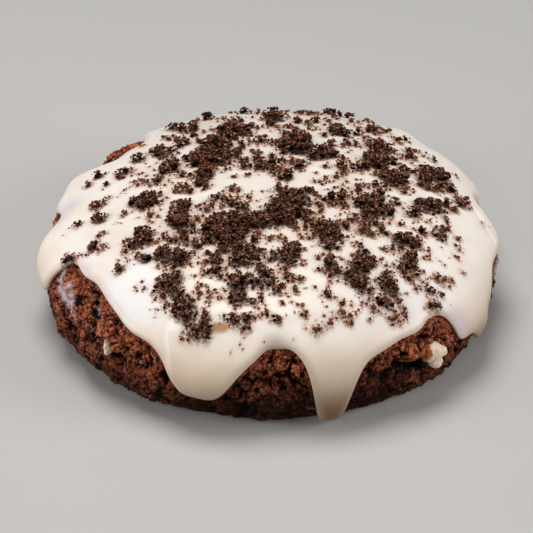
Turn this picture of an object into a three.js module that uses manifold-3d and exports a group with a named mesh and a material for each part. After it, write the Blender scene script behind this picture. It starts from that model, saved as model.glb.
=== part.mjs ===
// An iced chocolate cookie: one thick, craggy drop cookie under white icing that was poured over
// its top and runs down its side in drips. Crushed chocolate wafer lies on the icing in drifts,
// and two walnut pieces show in the bare side.
// Millimetres, +Z up, +X to the right, -Y to the front. The origin is the middle of the flat foot.

import * as THREE from 'three';
import { mergeVertices } from 'three/addons/utils/BufferGeometryUtils.js';
import Module from 'manifold-3d';

const wasm = await Module();
wasm.setup();

// ---- Driving dimensions -------------------------------------------------------------------------

const COOKIE_RADIUS = 46.5;      // at the waist, where the cookie is widest
const COOKIE_HEIGHT = 26;        // of the bare cookie
const WAIST_HEIGHT = 9.9;
const FOOT_SHARE = 0.88;         // radius of the flat foot over COOKIE_RADIUS
const DOME_POWER = 2.5;          // of the superellipse from the waist up to the top
const PLAN_SQUARE = -0.006;      // how far the round outline leans to a square
const PLAN_OVAL = 0.007;         // and to an oval that lies on the diagonal
const PLAN_DENTS = [[13, 2.1, 9.5], [340, 1.1, 9]];  // flatter places: angle, depth, half width

const CLEARANCE = 0.3;           // between any two pieces
const ICING_THICK = 1.1;
const ICING_LIP = 1.2;           // width of the rounded rim of the icing
const ICING_REACH = 47.8;        // from the top, along the surface, to the rim between two drips
const ICING_ARCH = 0.35;         // the underside's facets arch this far clear of the cookie
const BEAD_THICK = 0.8;          // more icing where a drip came to a stop
const ICING_SWELL = 0.18;        // height of the slow waves in the top of the icing
const SWELL_SIZE = 11;
const RIM_RIPPLES = [[0.25, 17, 1], [0.2, 29, 2.5]];  // height, waves round the rim, phase

const CRAG_DEPTH = 1.15;         // relief of the bare side
const CRAG_SIZE = 4.2;
const CRAG_START = 2.0;          // the relief grows to its full depth this far below the rim
const CRAG_END = 4;              // and fades out over this much above the foot
const CRAG_RISE = 0.14;          // steepest rise of the side away from the rim

// Each run bends the rim of the icing at one angle: a drip where it is longer, a bare bay where it
// is negative. The half widths are where half of the run is left, and a higher power is squarer.
const RUNS = [
  // angle, run, half width before and after in degrees, power before and after
  [190.0, 5.6, 7.6, 9.8, 6, 9],
  [210.5, -4.7, 8.5, 13.5, 6, 4],
  [229.0, -1.1, 12.0, 10.0, 4, 4],
  [253.0, 8.3, 7.9, 8.5, 4.2, 3.5],
  [271.5, -2.8, 4.5, 5.0, 4, 4],
  [284.5, 14.6, 5.1, 5.3, 6.5, 3.6],
  [313.5, -1.2, 3.5, 4.5, 4, 4],
  [331.0, 6.0, 11.8, 12.0, 12, 10],
  [336.0, 5.8, 7.5, 6.0, 4, 4],
  [356.0, 2.2, 8.0, 6.0, 4, 4],
  [24.0, 6.2, 5.0, 5.5, 5, 4],
  [35.0, -1.8, 4.0, 4.0, 4, 4],
  [48.0, 10.5, 5.2, 4.8, 5, 5],
  [72.0, 3.6, 8.0, 7.0, 4, 5],
  [97.0, 12.6, 5.0, 5.6, 6, 4],
  [121.0, 5.4, 6.0, 5.5, 4, 5],
  [146.5, -10.6, 15.0, 9.0, 6, 6],
  [180.5, -3.0, 7.0, 3.0, 4, 4],
];

// Where the icing gathers in a bead, mostly at the end of a long drip: angle, distance along the
// surface from the top, radius of the bead.
const BEADS = [
  [189.0, 49.5, 6.0],
  [158.5, 46.0, 4.5],
  [254.0, 52.5, 5.0],
  [284.6, 59.0, 3.6],
  [333.0, 55.0, 4.0],
  [24.0, 50.5, 4.0],
  [50.0, 43.5, 4.5],
  [48.0, 54.5, 3.8],
  [97.0, 56.5, 3.8],
  [121.0, 49.5, 4.0],
];

// Pits in the bare side: angle, distance along the surface, radius, depth.
const PITS = [
  [307.5, 54.2, 2.6, 1.9],
  [231.5, 53.5, 2.0, 1.5],
  [221.0, 49.5, 2.4, 1.3],
  [214.0, 55.0, 2.6, 1.2],
  [263.0, 59.0, 2.4, 1.3],
  [299.0, 54.0, 2.6, 1.4],
  [354.0, 54.5, 2.6, 1.4],
  [144.0, 45.0, 3.0, 1.3],
  [60.0, 55.0, 2.6, 1.4],
  [84.0, 56.0, 2.4, 1.2],
  [109.0, 54.0, 2.6, 1.3],
];

// Walnut pieces: name, angle, distance along the surface, size across, up and out of the side,
// and how far the middle stands out of the side.
const WALNUTS = [
  ['nut_right', 312.0, 53.6, [5.4, 5.6, 4.2], 0.1],
  ['nut_left', 227.5, 51.9, [2.3, 3.8, 3.2], -0.3],
];
const NUT_LOBES = 0.09;          // height of the lobes over half the size of the piece

// Drifts of crushed wafer on the icing: x, y, radius, and how thickly it lies, from 1 to 3.
const DRIFTS = [
  [-18, 27, 2.5, 2], [-8, 23, 3.5, 3], [-17, 22.5, 1.5, 2], [-12, 16, 3.5, 3], [-14, 10, 3.5, 3],
  [-14, 4, 2.5, 3], [-6, 8, 3.0, 2], [-23, 15, 3.0, 2], [-22, 6, 2.5, 2], [-18, -1, 1.5, 2],
  [-28, 3, 2.0, 1], [-31, 8, 2.0, 2], [-35.5, -2, 1.6, 3], [-34.5, -7.5, 0.8, 2],
  [-34, -13, 0.6, 2], [-35, -16.5, 1.4, 3], [-25, -4, 2.8, 3], [-24, -10, 0.8, 2],
  [-18, -8, 2.0, 3], [-20, -12, 2.0, 2], [-26, -17, 2.8, 3], [-29.5, -24.5, 0.5, 2],
  [-25.5, -30, 1.0, 1], [-8, -16, 5.0, 3], [1, -12.5, 4.0, 3], [4, -7, 4.0, 3], [2.5, -2, 1.2, 2],
  [-9, -7, 2.2, 2], [5, 15, 4.0, 3], [10, 12, 2.5, 3], [5, 21, 2.6, 2], [-1, 7, 3.5, 2],
  [3, 3, 2.0, 2], [0, 30, 2.5, 3], [-8, 29, 1.6, 2], [8, 28, 2.0, 2], [14, 24, 1.8, 3],
  [21, 26, 1.8, 3], [27, 24, 1.5, 2], [10, 2, 1.4, 2], [14, 6, 2.4, 2], [14, 2, 1.8, 2],
  [23, 16, 2.4, 3], [21, 9, 3.0, 3], [25, 3, 3.0, 3], [31, 17, 2.4, 2], [33, 10, 3.2, 3],
  [33, 4, 2.6, 2], [39, 1, 1.6, 3], [31, -4, 2.2, 1], [36, -3, 1.6, 2], [20, -7, 3.4, 3],
  [13, -6, 2.6, 2], [24, -8, 0.6, 2], [19, -15, 2.6, 2], [11, -17, 3.6, 3], [11, -21.5, 1.2, 2],
  [27, -18, 2.6, 2], [34, -12, 2.4, 2], [36, -16, 1.2, 2], [27, -25, 2.6, 3], [17, -25, 3.2, 3],
  [22, -29, 2.6, 3], [11, -26, 2.0, 1], [3, -24, 3.4, 3], [-5, -25, 3.6, 3], [-12, -25, 1.8, 1],
  [-19, -24, 3.4, 3], [-19, -31, 3.0, 3], [-16, -37, 2.0, 3], [-13, -40, 1.8, 2],
  [-6, -33, 2.8, 2], [2, -33.5, 1.6, 2], [5, -31, 0.8, 1], [-7, -39.5, 1.0, 1], [6, -38, 1.2, 1],
  [14, -36.5, 1.4, 1], [22, -33.5, 2.2, 1], [31, -28, 1.6, 2], [33, -25, 1.6, 2],
];
const CRUMBS_PER_MM2 = 0.029;    // solid crumbs on each square millimetre, at thickness 1
const CRUMB_LARGE = 2.0;         // half length of the largest lumps of crumbs
const CRUMB_SMALL = 1.0;         // and of the smallest that are solids
const CRUMB_FLATNESS = [0.5, 0.75];  // height of a crumb over its length
const CRUMB_WIDTH = [0.7, 1];    // and its width
const CRUMB_CORNERS = [0.72, 1.1];   // how far its corners stand from its middle
const DRIFT_FADE = 4.5;          // from the heart of a drift to where its lumps are smallest
const GOLDEN_ANGLE = 2.4;        // spreads the lumps of a drift evenly round its heart
const CRUMB_SINK = 0.45;         // share of its height that a crumb sinks into the icing
const CRUMB_SINK_MOST = 0.7;     // but never more than this share of the icing's thickness

const SHORTEST_EDGE = 0.01;      // a crumb that would cut a shorter edge into the icing is moved
const CRUMB_NUDGE = 0.06;        // by this much, and left out if it still does after these tries
const CRUMB_TRIES = 12;

const CRUMB_SEED = 41;

// Rings of corners that the meshes are made of: distance along the surface in millimetres, and how
// many times fewer corners the ring has than the longest. The icing has further rings at shares
// of the way from its last round ring to the rim, and at steps before the rim.
const ICING_CORNERS = 144;
const ICING_ROUND_RINGS = [[12, 12], [23, 6], [30, 3], [34, 2]];
const ICING_UPPER_SHARES = [0.27, 0.53, 0.78];
const ICING_RIM_STEPS = [1.7, 0.45];
const ICING_GATHER = [14, 41];   // where the corners move from even angles to the rim's
const ICING_UNDER_SHARES = [0.2, 0.4, 0.6, 0.8];
const ICING_UNDER_STEP = 1.4;
const COOKIE_CORNERS = 128;
const COOKIE_RINGS = [
  [13, 4], [25, 2], [34, 2], [38.5, 1], [41.5, 1], [44, 1], [46.5, 1], [49, 1], [51.5, 1],
  [54, 1], [56.5, 1], [59, 1], [61.5, 1], [64, 1],
];
const FOOT_RING = [0.6, 4];

const COLOURS = {
  cookie: new THREE.Color(0x4a2a1c),
  icing: new THREE.Color(0xefe9e0),
  walnut: new THREE.Color(0xd8bd92),
};

// ---- Small helpers ------------------------------------------------------------------------------

const UP = new THREE.Vector3(0, 0, 1);
const radians = THREE.MathUtils.degToRad;
const { lerp, clamp, smoothstep } = THREE.MathUtils;

// Shortest signed turn from one angle to another, in degrees.
const turn = (from, to) => THREE.MathUtils.euclideanModulo(to - from + 180, 360) - 180;

// Smooth noise from -1 to 1 in space: a hashed value at each corner of a unit grid, blended.
function noise(x, y, z) {
  const hash = (i, j, k) => {
    const wave = Math.sin(i * 127.1 + j * 311.7 + k * 74.7) * 43758.5453;
    return 2 * (wave - Math.floor(wave)) - 1;
  };
  const [i, j, k] = [Math.floor(x), Math.floor(y), Math.floor(z)];
  const [u, v, w] = [smoothstep(x - i, 0, 1), smoothstep(y - j, 0, 1), smoothstep(z - k, 0, 1)];
  const alongX = (b, c) => lerp(hash(i, b, c), hash(i + 1, b, c), u);
  const alongY = (c) => lerp(alongX(j, c), alongX(j + 1, c), v);
  return lerp(alongY(k), alongY(k + 1), w);
}

// Seeded random numbers from 0 to 1, so that the crumbs always fall alike.
function seeded(seed) {
  let state = seed;
  return () => {
    state = (state * 1664525 + 1013904223) % 4294967296;
    return state / 4294967296;
  };
}

// ---- The dome that every piece follows ----------------------------------------------------------

// Half section from the top of the cookie to the edge of its foot, as points with their distance
// along the surface: a superellipse down to the waist, then a quarter of an ellipse to the foot.
function sectionCurve(steps = 240) {
  const points = [];
  for (let i = 0; i <= steps; i += 1) {
    const a = (Math.PI / 2) * (1 - i / steps);
    const r = COOKIE_RADIUS * Math.cos(a) ** (2 / DOME_POWER);
    const z = lerp(WAIST_HEIGHT, COOKIE_HEIGHT, Math.sin(a) ** (2 / DOME_POWER));
    points.push(new THREE.Vector2(r, z));
  }
  for (let i = 1; i <= steps; i += 1) {
    const b = (Math.PI / 2) * (i / steps);
    const r = COOKIE_RADIUS * lerp(FOOT_SHARE, 1, Math.cos(b));
    points.push(new THREE.Vector2(r, WAIST_HEIGHT * (1 - Math.sin(b))));
  }
  let along = 0;
  return points.map((point, i) => {
    along += i ? point.distanceTo(points[i - 1]) : 0;
    return { along, r: point.x, z: point.y };
  });
}
const SECTION = sectionCurve();
const SECTION_LENGTH = SECTION.at(-1).along;

// Point of the section at a distance along it, with the outward normal there.
function sectionAt(along) {
  const s = clamp(along, 0, SECTION_LENGTH - 1e-6);
  let low = 0;
  let high = SECTION.length - 1;
  while (high - low > 1) {
    const middle = (low + high) >> 1;
    if (SECTION[middle].along <= s) low = middle; else high = middle;
  }
  const [p, q] = [SECTION[low], SECTION[high]];
  const t = (s - p.along) / (q.along - p.along);
  const step = Math.hypot(q.r - p.r, q.z - p.z);
  return {
    r: lerp(p.r, q.r, t), z: lerp(p.z, q.z, t),
    normalR: (p.z - q.z) / step, normalZ: (q.r - p.r) / step,
  };
}

// How far the outline of the cookie leaves a circle at an angle, as a factor.
function planFactor(degrees) {
  const a = radians(degrees);
  const dent = ([middle, depth, half]) => (
    (depth / COOKIE_RADIUS) * Math.exp(-((turn(middle, degrees) / half) ** 2)));
  const round = 1 + PLAN_SQUARE * Math.cos(4 * a) + PLAN_OVAL * Math.sin(2 * a);
  return PLAN_DENTS.reduce((rest, place) => rest - dent(place), round);
}

// Point in space at an angle and a distance along the section, lifted off the cookie.
function onDome(degrees, along, lift = 0) {
  if (along === 0) return new THREE.Vector3(0, 0, COOKIE_HEIGHT + lift);
  const { r, z, normalR, normalZ } = sectionAt(along);
  const radius = r * planFactor(degrees) + normalR * lift;
  const a = radians(degrees);
  return new THREE.Vector3(radius * Math.cos(a), radius * Math.sin(a), z + normalZ * lift);
}

// Distance along the section of a point seen from above at x, y.
function alongAbove(x, y) {
  const radius = Math.hypot(x, y) / planFactor(THREE.MathUtils.radToDeg(Math.atan2(y, x)));
  return SECTION.find((point) => point.r >= radius).along;
}

// ---- The rim of the icing -----------------------------------------------------------------------

// How much of a run is left at an angle: 1 in its middle, one half at its half width.
function runShare(degrees, [angle, , before, after, powerBefore, powerAfter]) {
  const off = turn(angle, degrees);
  const [half, power] = off < 0 ? [before, powerBefore] : [after, powerAfter];
  return 1 / (1 + Math.abs(off / half) ** power);
}

// Distance from the top of the cookie to the rim, along the surface.
function rimReach(degrees) {
  const a = radians(degrees);
  const ripples = RIM_RIPPLES.map(([height, waves, phase]) => height * Math.sin(waves * a + phase));
  const runs = RUNS.map((run) => run[1] * runShare(degrees, run));
  return [...ripples, ...runs].reduce((reach, part) => reach + part, ICING_REACH);
}

// Angles round the rim at even steps along its outline, so that a drip's sides get columns too.
function rimAngles(count, samples = 3600) {
  const lengths = [0];
  for (let i = 1; i <= samples; i += 1) {
    const [from, to] = [(i - 1) * 360 / samples, i * 360 / samples];
    lengths.push(lengths[i - 1] + onDome(from, rimReach(from)).distanceTo(onDome(to, rimReach(to))));
  }
  const angles = [];
  for (let column = 0, i = 0; column < count; column += 1) {
    const wanted = (lengths[samples] * column) / count;
    while (lengths[i + 1] < wanted) i += 1;
    const t = (wanted - lengths[i]) / (lengths[i + 1] - lengths[i]);
    angles.push(((i + t) * 360) / samples);
  }
  return angles;
}

const RIM = rimAngles(720).map((angle) => ({ angle, reach: rimReach(angle) }));

// Signed distance of a point on the dome from the rim: positive where the icing lies.
function insideRim(degrees, along) {
  const { r } = sectionAt(along);
  let nearest = Infinity;
  for (const rim of RIM) {
    const across = r * radians(turn(rim.angle, degrees));
    nearest = Math.min(nearest, Math.hypot(across, along - rim.reach));
  }
  return along < rimReach(degrees) ? nearest : -nearest;
}

// How near a point of the dome is to the middle of a round spot: 1 there, and 0.14 at its radius.
function spotShare(degrees, along, [angle, reach, radius]) {
  const across = sectionAt(along).r * radians(turn(angle, degrees));
  return Math.exp(-2 * ((across / radius) ** 2 + ((along - reach) / radius) ** 2));
}

// ---- Icing and crumbs ---------------------------------------------------------------------------

// Thickness of the icing: a quarter round at the rim, beads at the drips' ends, slow waves on top.
function icingThickness(degrees, along) {
  const inset = clamp(insideRim(degrees, along) / ICING_LIP, 0, 1);
  const beads = BEADS.map((bead) => BEAD_THICK * spotShare(degrees, along, bead));
  const p = onDome(degrees, along).divideScalar(SWELL_SIZE);
  const full = beads.reduce((sum, bead) => sum + bead, ICING_THICK + ICING_SWELL * noise(p.x, p.y, p.z));
  return full * Math.sqrt(1 - (1 - inset) ** 2);
}

// The icing sheet as rings: over its upper face to the rim, then back along its underside. The
// corners stand at even steps round the top and at even steps along the rim, and a ring with
// fewer takes every second, third ...
function icingRings() {
  const angles = rimAngles(ICING_CORNERS);
  const evenAngle = (i) => angles[0] + (i * 360) / ICING_CORNERS;
  const ring = (fewer, alongFor, thickness) => angles.flatMap((rimAngle, i) => {
    if (i % fewer) return [];
    const along = alongFor(rimReach(rimAngle));
    const angle = lerp(evenAngle(i), rimAngle, smoothstep(along, ...ICING_GATHER));
    return [onDome(angle, along, CLEARANCE + thickness(angle, along))];
  });
  const none = () => 0;
  const arch = (angle, along) => ICING_ARCH * clamp(insideRim(angle, along) / ICING_LIP, 0, 1);
  const lastRound = ICING_ROUND_RINGS.at(-1)[0];
  const face = (shares, step, thickness) => [
    [onDome(0, 0, CLEARANCE + thickness(0, 0))],
    ...ICING_ROUND_RINGS.map(([along, fewer]) => ring(fewer, () => along, thickness)),
    ...shares.map((share) => ring(1, (reach) => lerp(lastRound, reach - step, share), thickness)),
  ];
  const upper = face(ICING_UPPER_SHARES, ICING_RIM_STEPS[0], icingThickness);
  const rim = ICING_RIM_STEPS.map((step) => ring(1, (reach) => reach - step, icingThickness));
  const edge = [ring(1, (reach) => reach, none), ring(1, (reach) => reach - ICING_UNDER_STEP, arch)];
  return [...upper, ...rim, ...edge, ...face(ICING_UNDER_SHARES, ICING_UNDER_STEP, arch).reverse()];
}

// One wafer crumb: a lump with twelve corners, each pulled in by its own amount, lying flat.
function crumb(random, size) {
  const shape = mergedPositions(new THREE.IcosahedronGeometry(1, 0));
  moveCorners(shape, (corner) => corner.multiplyScalar(lerp(...CRUMB_CORNERS, random())));
  const halfHeight = size * lerp(...CRUMB_FLATNESS, random());
  shape.scale(size, size * lerp(...CRUMB_WIDTH, random()), halfHeight);
  shape.rotateZ(random() * Math.PI * 2);
  return { shape, halfHeight };
}

// Crumbs of each drift, largest at its heart, set into the icing where they land.
function driftCrumbs() {
  const random = seeded(CRUMB_SEED);
  const crumbs = [];
  for (const [x, y, radius, density] of DRIFTS) {
    const pieces = Math.max(1, Math.round(CRUMBS_PER_MM2 * density * Math.PI * radius ** 2));
    for (let piece = 0; piece < pieces; piece += 1) {
      const away = pieces === 1 ? 0 : Math.sqrt((piece + 0.35) / pieces) * radius;
      const around = (piece + x) * GOLDEN_ANGLE + random();
      const [cx, cy] = [x + away * Math.cos(around), y + away * Math.sin(around)];
      const size = lerp(CRUMB_LARGE, CRUMB_SMALL, clamp(away / DRIFT_FADE + random() / 2, 0, 1));
      const angle = THREE.MathUtils.radToDeg(Math.atan2(cy, cx));
      const along = alongAbove(cx, cy);
      const { shape, halfHeight } = crumb(random, size);
      if (insideRim(angle, along) < size + ICING_LIP) continue;
      const thickness = icingThickness(angle, along);
      const sunk = Math.min(CRUMB_SINK * 2 * halfHeight, CRUMB_SINK_MOST * thickness);
      const normal = onDome(angle, along, 1).sub(onDome(angle, along, 0)).normalize();
      shape.applyQuaternion(new THREE.Quaternion().setFromUnitVectors(UP, normal));
      const middle = onDome(angle, along, CLEARANCE + thickness - sunk + halfHeight);
      crumbs.push(shape.translate(middle.x, middle.y, middle.z));
    }
  }
  return crumbs;
}

// ---- Cookie and walnuts -------------------------------------------------------------------------

// Depth of the cookie's relief at a point of its surface: none under the icing, crags and pits on
// the bare side, fading out again at the foot so that the cookie stands flat.
function cragLift(degrees, along) {
  const outside = Math.max(0, -insideRim(degrees, along));
  const bare = smoothstep(outside, 0, CRAG_START);
  const aboveFoot = smoothstep(SECTION_LENGTH - along, 0, CRAG_END);
  const p = onDome(degrees, along).divideScalar(CRAG_SIZE);
  const coarse = noise(p.x, p.y, p.z);
  const fine = noise(2.3 * p.x + 9, 2.3 * p.y, 2.3 * p.z);
  const pits = PITS.map((pit) => pit[3] * spotShare(degrees, along, pit));
  const lift = pits.reduce((rest, pit) => rest - pit, CRAG_DEPTH * (0.75 * coarse + 0.45 * fine));
  return bare * aboveFoot * Math.min(lift, CRAG_RISE * outside);
}

// The cookie as rings, from its top down the side to the edge of the foot and across the foot.
function cookieRings() {
  const ring = (fewer, place) => {
    const count = COOKIE_CORNERS / fewer;
    return Array.from({ length: count }, (_, i) => place((i * 360) / count));
  };
  const [footShare, footFewer] = FOOT_RING;
  return [
    [onDome(0, 0)],
    ...COOKIE_RINGS.map(([along, fewer]) => (
      ring(fewer, (angle) => onDome(angle, along, cragLift(angle, along))))),
    ring(1, (angle) => onDome(angle, SECTION_LENGTH).setZ(0)),
    ring(footFewer, (angle) => onDome(angle, SECTION_LENGTH).multiplyScalar(footShare).setZ(0)),
    [new THREE.Vector3()],
  ];
}

// A lobed walnut piece round the origin, x across, y along the side's slope, z out of the side.
function walnutPiece(size, grow) {
  const piece = mergedPositions(new THREE.IcosahedronGeometry(1, 2));
  moveCorners(piece, (p) => {
    const lobes = NUT_LOBES * (Math.sin(5 * p.x + 1.4) + Math.sin(6 * p.y + 2.4));
    return p.multiplyScalar(1 + lobes + NUT_LOBES * noise(2.2 * p.x + 7, 2.2 * p.y, 2.2 * p.z));
  });
  return piece.scale(...size.map((length) => length / 2 + grow));
}

// A walnut piece in its place in the side, grown all round for the pocket that holds it.
function placedWalnut([, angle, along, size, out], grow) {
  const piece = walnutPiece(size, grow);
  const normal = onDome(angle, along, 1).sub(onDome(angle, along, 0)).normalize();
  const a = radians(angle);
  const across = new THREE.Vector3(-Math.sin(a), Math.cos(a), 0);
  const slope = new THREE.Vector3().crossVectors(normal, across);
  const middle = onDome(angle, along, out);
  piece.applyMatrix4(new THREE.Matrix4().makeBasis(across, slope, normal).setPosition(middle));
  return piece;
}

// ---- Solids -------------------------------------------------------------------------------------

// A closed surface through rings of corners that start and end in a single point. Each ring runs
// once round; a band between two rings of unequal length takes its next corner from whichever
// ring lags behind.
function ringedSurface(rings) {
  const firsts = [];
  rings.reduce((count, ring) => {
    firsts.push(count);
    return count + ring.length;
  }, 0);
  const triangles = [];
  for (let band = 1; band < rings.length; band += 1) {
    const [above, below] = [rings[band - 1].length, rings[band].length];
    const upper = (i) => firsts[band - 1] + (i % above);
    const lower = (i) => firsts[band] + (i % below);
    const aboveSteps = above === 1 ? 0 : above;
    const belowSteps = below === 1 ? 0 : below;
    for (let [i, j] = [0, 0]; i < aboveSteps || j < belowSteps;) {
      const lowerLags = (j + 0.5) / below <= (i + 0.5) / above;
      const stepBelow = i === aboveSteps || (j < belowSteps && lowerLags);
      triangles.push(upper(i), lower(j), stepBelow ? lower(j + 1) : upper(i + 1));
      if (stepBelow) j += 1; else i += 1;
    }
  }
  const geometry = new THREE.BufferGeometry().setFromPoints(rings.flat());
  geometry.setIndex(triangles);
  return geometry;
}

// The geometry with its shared corners merged, so that it is one closed surface.
function mergedPositions(geometry) {
  const bare = geometry.clone();
  bare.deleteAttribute('normal');
  bare.deleteAttribute('uv');
  return mergeVertices(bare, 1e-5);
}

// Moves every corner of an indexed geometry by a rule that changes the vector it is given.
function moveCorners(geometry, rule) {
  const { position } = geometry.attributes;
  const corner = new THREE.Vector3();
  for (let i = 0; i < position.count; i += 1) {
    rule(corner.fromBufferAttribute(position, i));
    position.setXYZ(i, corner.x, corner.y, corner.z);
  }
}

function toSolid(geometry) {
  const merged = mergedPositions(geometry);
  const vertProperties = new Float32Array(merged.attributes.position.array);
  const triVerts = new Uint32Array(merged.index.array);
  return new wasm.Manifold(new wasm.Mesh({ numProp: 3, vertProperties, triVerts }));
}

// The largest closed surface of a solid, without loose scraps and with sealed hollows filled.
function mainBody(solid) {
  return solid.decompose().reduce((best, body) => (body.volume() > best.volume() ? body : best));
}

function toGeometry(solid) {
  const { vertProperties, triVerts } = solid.getMesh();
  const geometry = new THREE.BufferGeometry();
  geometry.setAttribute('position', new THREE.BufferAttribute(vertProperties, 3));
  geometry.setIndex(new THREE.BufferAttribute(triVerts, 1));
  return geometry;
}

function namedMesh(name, geometry, colour, roughness) {
  geometry.computeVertexNormals();
  const material = new THREE.MeshStandardMaterial({ color: colour, roughness, metalness: 0 });
  const mesh = new THREE.Mesh(geometry, material);
  mesh.name = name;
  return mesh;
}

function buildCookie() {
  const whole = toSolid(ringedSurface(cookieRings()));
  const pockets = WALNUTS.map((walnut) => toSolid(placedWalnut(walnut, CLEARANCE)));
  const solid = pockets.reduce((rest, pocket) => rest.subtract(pocket), whole);
  return namedMesh('cookie', toGeometry(solid), COLOURS.cookie, 0.9);
}

function shortestEdge(solid) {
  const { vertProperties, triVerts } = solid.getMesh();
  const corner = (i) => new THREE.Vector3().fromArray(vertProperties, 3 * triVerts[i]);
  let shortest = Infinity;
  for (let i = 0; i < triVerts.length; i += 3) {
    const [a, b, c] = [corner(i), corner(i + 1), corner(i + 2)];
    shortest = Math.min(shortest, a.distanceTo(b), b.distanceTo(c), c.distanceTo(a));
  }
  return shortest;
}

// The icing with one more crumb, which moves a little while it would cut a tiny edge.
function withCrumb(icing, crumbShape) {
  for (let tries = 0; tries < CRUMB_TRIES; tries += 1) {
    const joined = icing.add(toSolid(crumbShape));
    if (shortestEdge(joined) > SHORTEST_EDGE) return joined;
    crumbShape.translate(CRUMB_NUDGE, CRUMB_NUDGE, 0);
  }
  return icing;
}

function buildIcing() {
  const sheet = toSolid(ringedSurface(icingRings()));
  const solid = driftCrumbs().reduce(withCrumb, sheet);
  return namedMesh('icing', toGeometry(mainBody(solid)), COLOURS.icing, 0.4);
}

function buildWalnut(walnut) {
  return namedMesh(walnut[0], placedWalnut(walnut, 0), COLOURS.walnut, 0.7);
}

const icedCookie = new THREE.Group();
icedCookie.add(buildCookie(), buildIcing(), ...WALNUTS.map(buildWalnut));

export default icedCookie;
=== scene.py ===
"""An iced chocolate cookie: a thick craggy cookie under poured white icing that runs down its side
in drips, crushed chocolate wafer on the icing, and two walnut pieces in the bare side.

Sizes are worked out in millimetres and angles in degrees; a mesh gets metres when it is finished.
+Z is up, +X to the right and -Y to the front, and the origin is the middle of the flat foot."""

import math

import bmesh
import bpy
import numpy as np
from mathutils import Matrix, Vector
from mathutils import noise as blender_noise
from mathutils.kdtree import KDTree


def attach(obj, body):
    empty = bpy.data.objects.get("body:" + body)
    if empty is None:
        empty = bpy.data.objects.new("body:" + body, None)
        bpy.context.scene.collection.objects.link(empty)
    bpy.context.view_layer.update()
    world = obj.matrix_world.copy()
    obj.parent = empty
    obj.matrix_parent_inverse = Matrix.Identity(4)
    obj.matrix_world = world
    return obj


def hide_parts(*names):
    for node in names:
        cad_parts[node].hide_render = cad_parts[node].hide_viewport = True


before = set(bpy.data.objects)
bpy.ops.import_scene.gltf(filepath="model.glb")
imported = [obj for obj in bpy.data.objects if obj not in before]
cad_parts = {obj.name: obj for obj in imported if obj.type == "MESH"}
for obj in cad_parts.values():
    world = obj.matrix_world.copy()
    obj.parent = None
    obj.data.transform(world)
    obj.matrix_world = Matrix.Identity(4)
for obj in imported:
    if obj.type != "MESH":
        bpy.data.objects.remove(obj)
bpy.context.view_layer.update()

MM = 0.001

# ---- Sizes shared with the solids ----------------------------------------------------------------

COOKIE_RADIUS = 46.5
COOKIE_HEIGHT = 26.0
WAIST_HEIGHT = 9.9
FOOT_SHARE = 0.88
DOME_POWER = 2.5
PLAN_SQUARE = -0.006
PLAN_OVAL = 0.007
PLAN_DENTS = [(13.0, 2.1, 9.5), (340.0, 1.1, 9.0)]   # angle, depth, half width in degrees

CLEARANCE = 0.3
ICING_THICK = 1.1
ICING_LIP = 1.2
ICING_REACH = 47.8
BEAD_THICK = 0.8
ICING_SWELL = 0.18
SWELL_SIZE = 11.0
RIM_RIPPLES = [(0.25, 17, 1.0), (0.2, 29, 2.5)]

CRAG_DEPTH = 1.15
CRAG_SIZE = 4.2
CRAG_SHARES = (0.75, 0.45)   # of the coarse crags and of finer ones
CRAG_FINER = 2.3
CRAG_START = 2.0
CRAG_END = 5.5

# Runs of the rim: angle, run, half width before and after, power before and after.
RUNS = [
    (190.0, 5.6, 7.6, 9.8, 6, 9), (210.5, -4.7, 8.5, 13.5, 6, 4),
    (229.0, -1.1, 12.0, 10.0, 4, 4), (253.0, 8.3, 7.9, 8.5, 4.2, 3.5),
    (271.5, -2.8, 4.5, 5.0, 4, 4), (284.5, 14.6, 5.1, 5.3, 6.5, 3.6),
    (313.5, -1.2, 3.5, 4.5, 4, 4), (331.0, 6.0, 11.8, 12.0, 12, 10),
    (336.0, 5.8, 7.5, 6.0, 4, 4), (356.0, 2.2, 8.0, 6.0, 4, 4),
    (24.0, 6.2, 5.0, 5.5, 5, 4), (35.0, -1.8, 4.0, 4.0, 4, 4),
    (48.0, 10.5, 5.2, 4.8, 5, 5), (72.0, 3.6, 8.0, 7.0, 4, 5),
    (97.0, 12.6, 5.0, 5.6, 6, 4), (121.0, 5.4, 6.0, 5.5, 4, 5),
    (146.5, -10.6, 15.0, 9.0, 6, 6), (180.5, -3.0, 7.0, 3.0, 4, 4),
]

# Spots on the dome: angle, distance from the top along the surface, radius.
BEADS = [
    (189.0, 49.5, 6.0), (158.5, 46.0, 4.5), (254.0, 52.5, 5.0), (284.6, 59.0, 3.6),
    (333.0, 55.0, 4.0), (24.0, 50.5, 4.0), (50.0, 43.5, 4.5), (48.0, 54.5, 3.8),
    (97.0, 56.5, 3.8), (121.0, 49.5, 4.0),
]
PITS = [  # and depth
    (307.5, 54.2, 2.6, 1.9), (231.5, 53.5, 2.0, 1.5), (221.0, 49.5, 2.4, 1.3),
    (214.0, 55.0, 2.6, 1.2), (263.0, 59.0, 2.4, 1.3), (299.0, 54.0, 2.6, 1.4),
    (354.0, 54.5, 2.6, 1.4), (144.0, 45.0, 3.0, 1.3), (60.0, 55.0, 2.6, 1.4),
    (84.0, 56.0, 2.4, 1.2), (109.0, 54.0, 2.6, 1.3),
]

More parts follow.
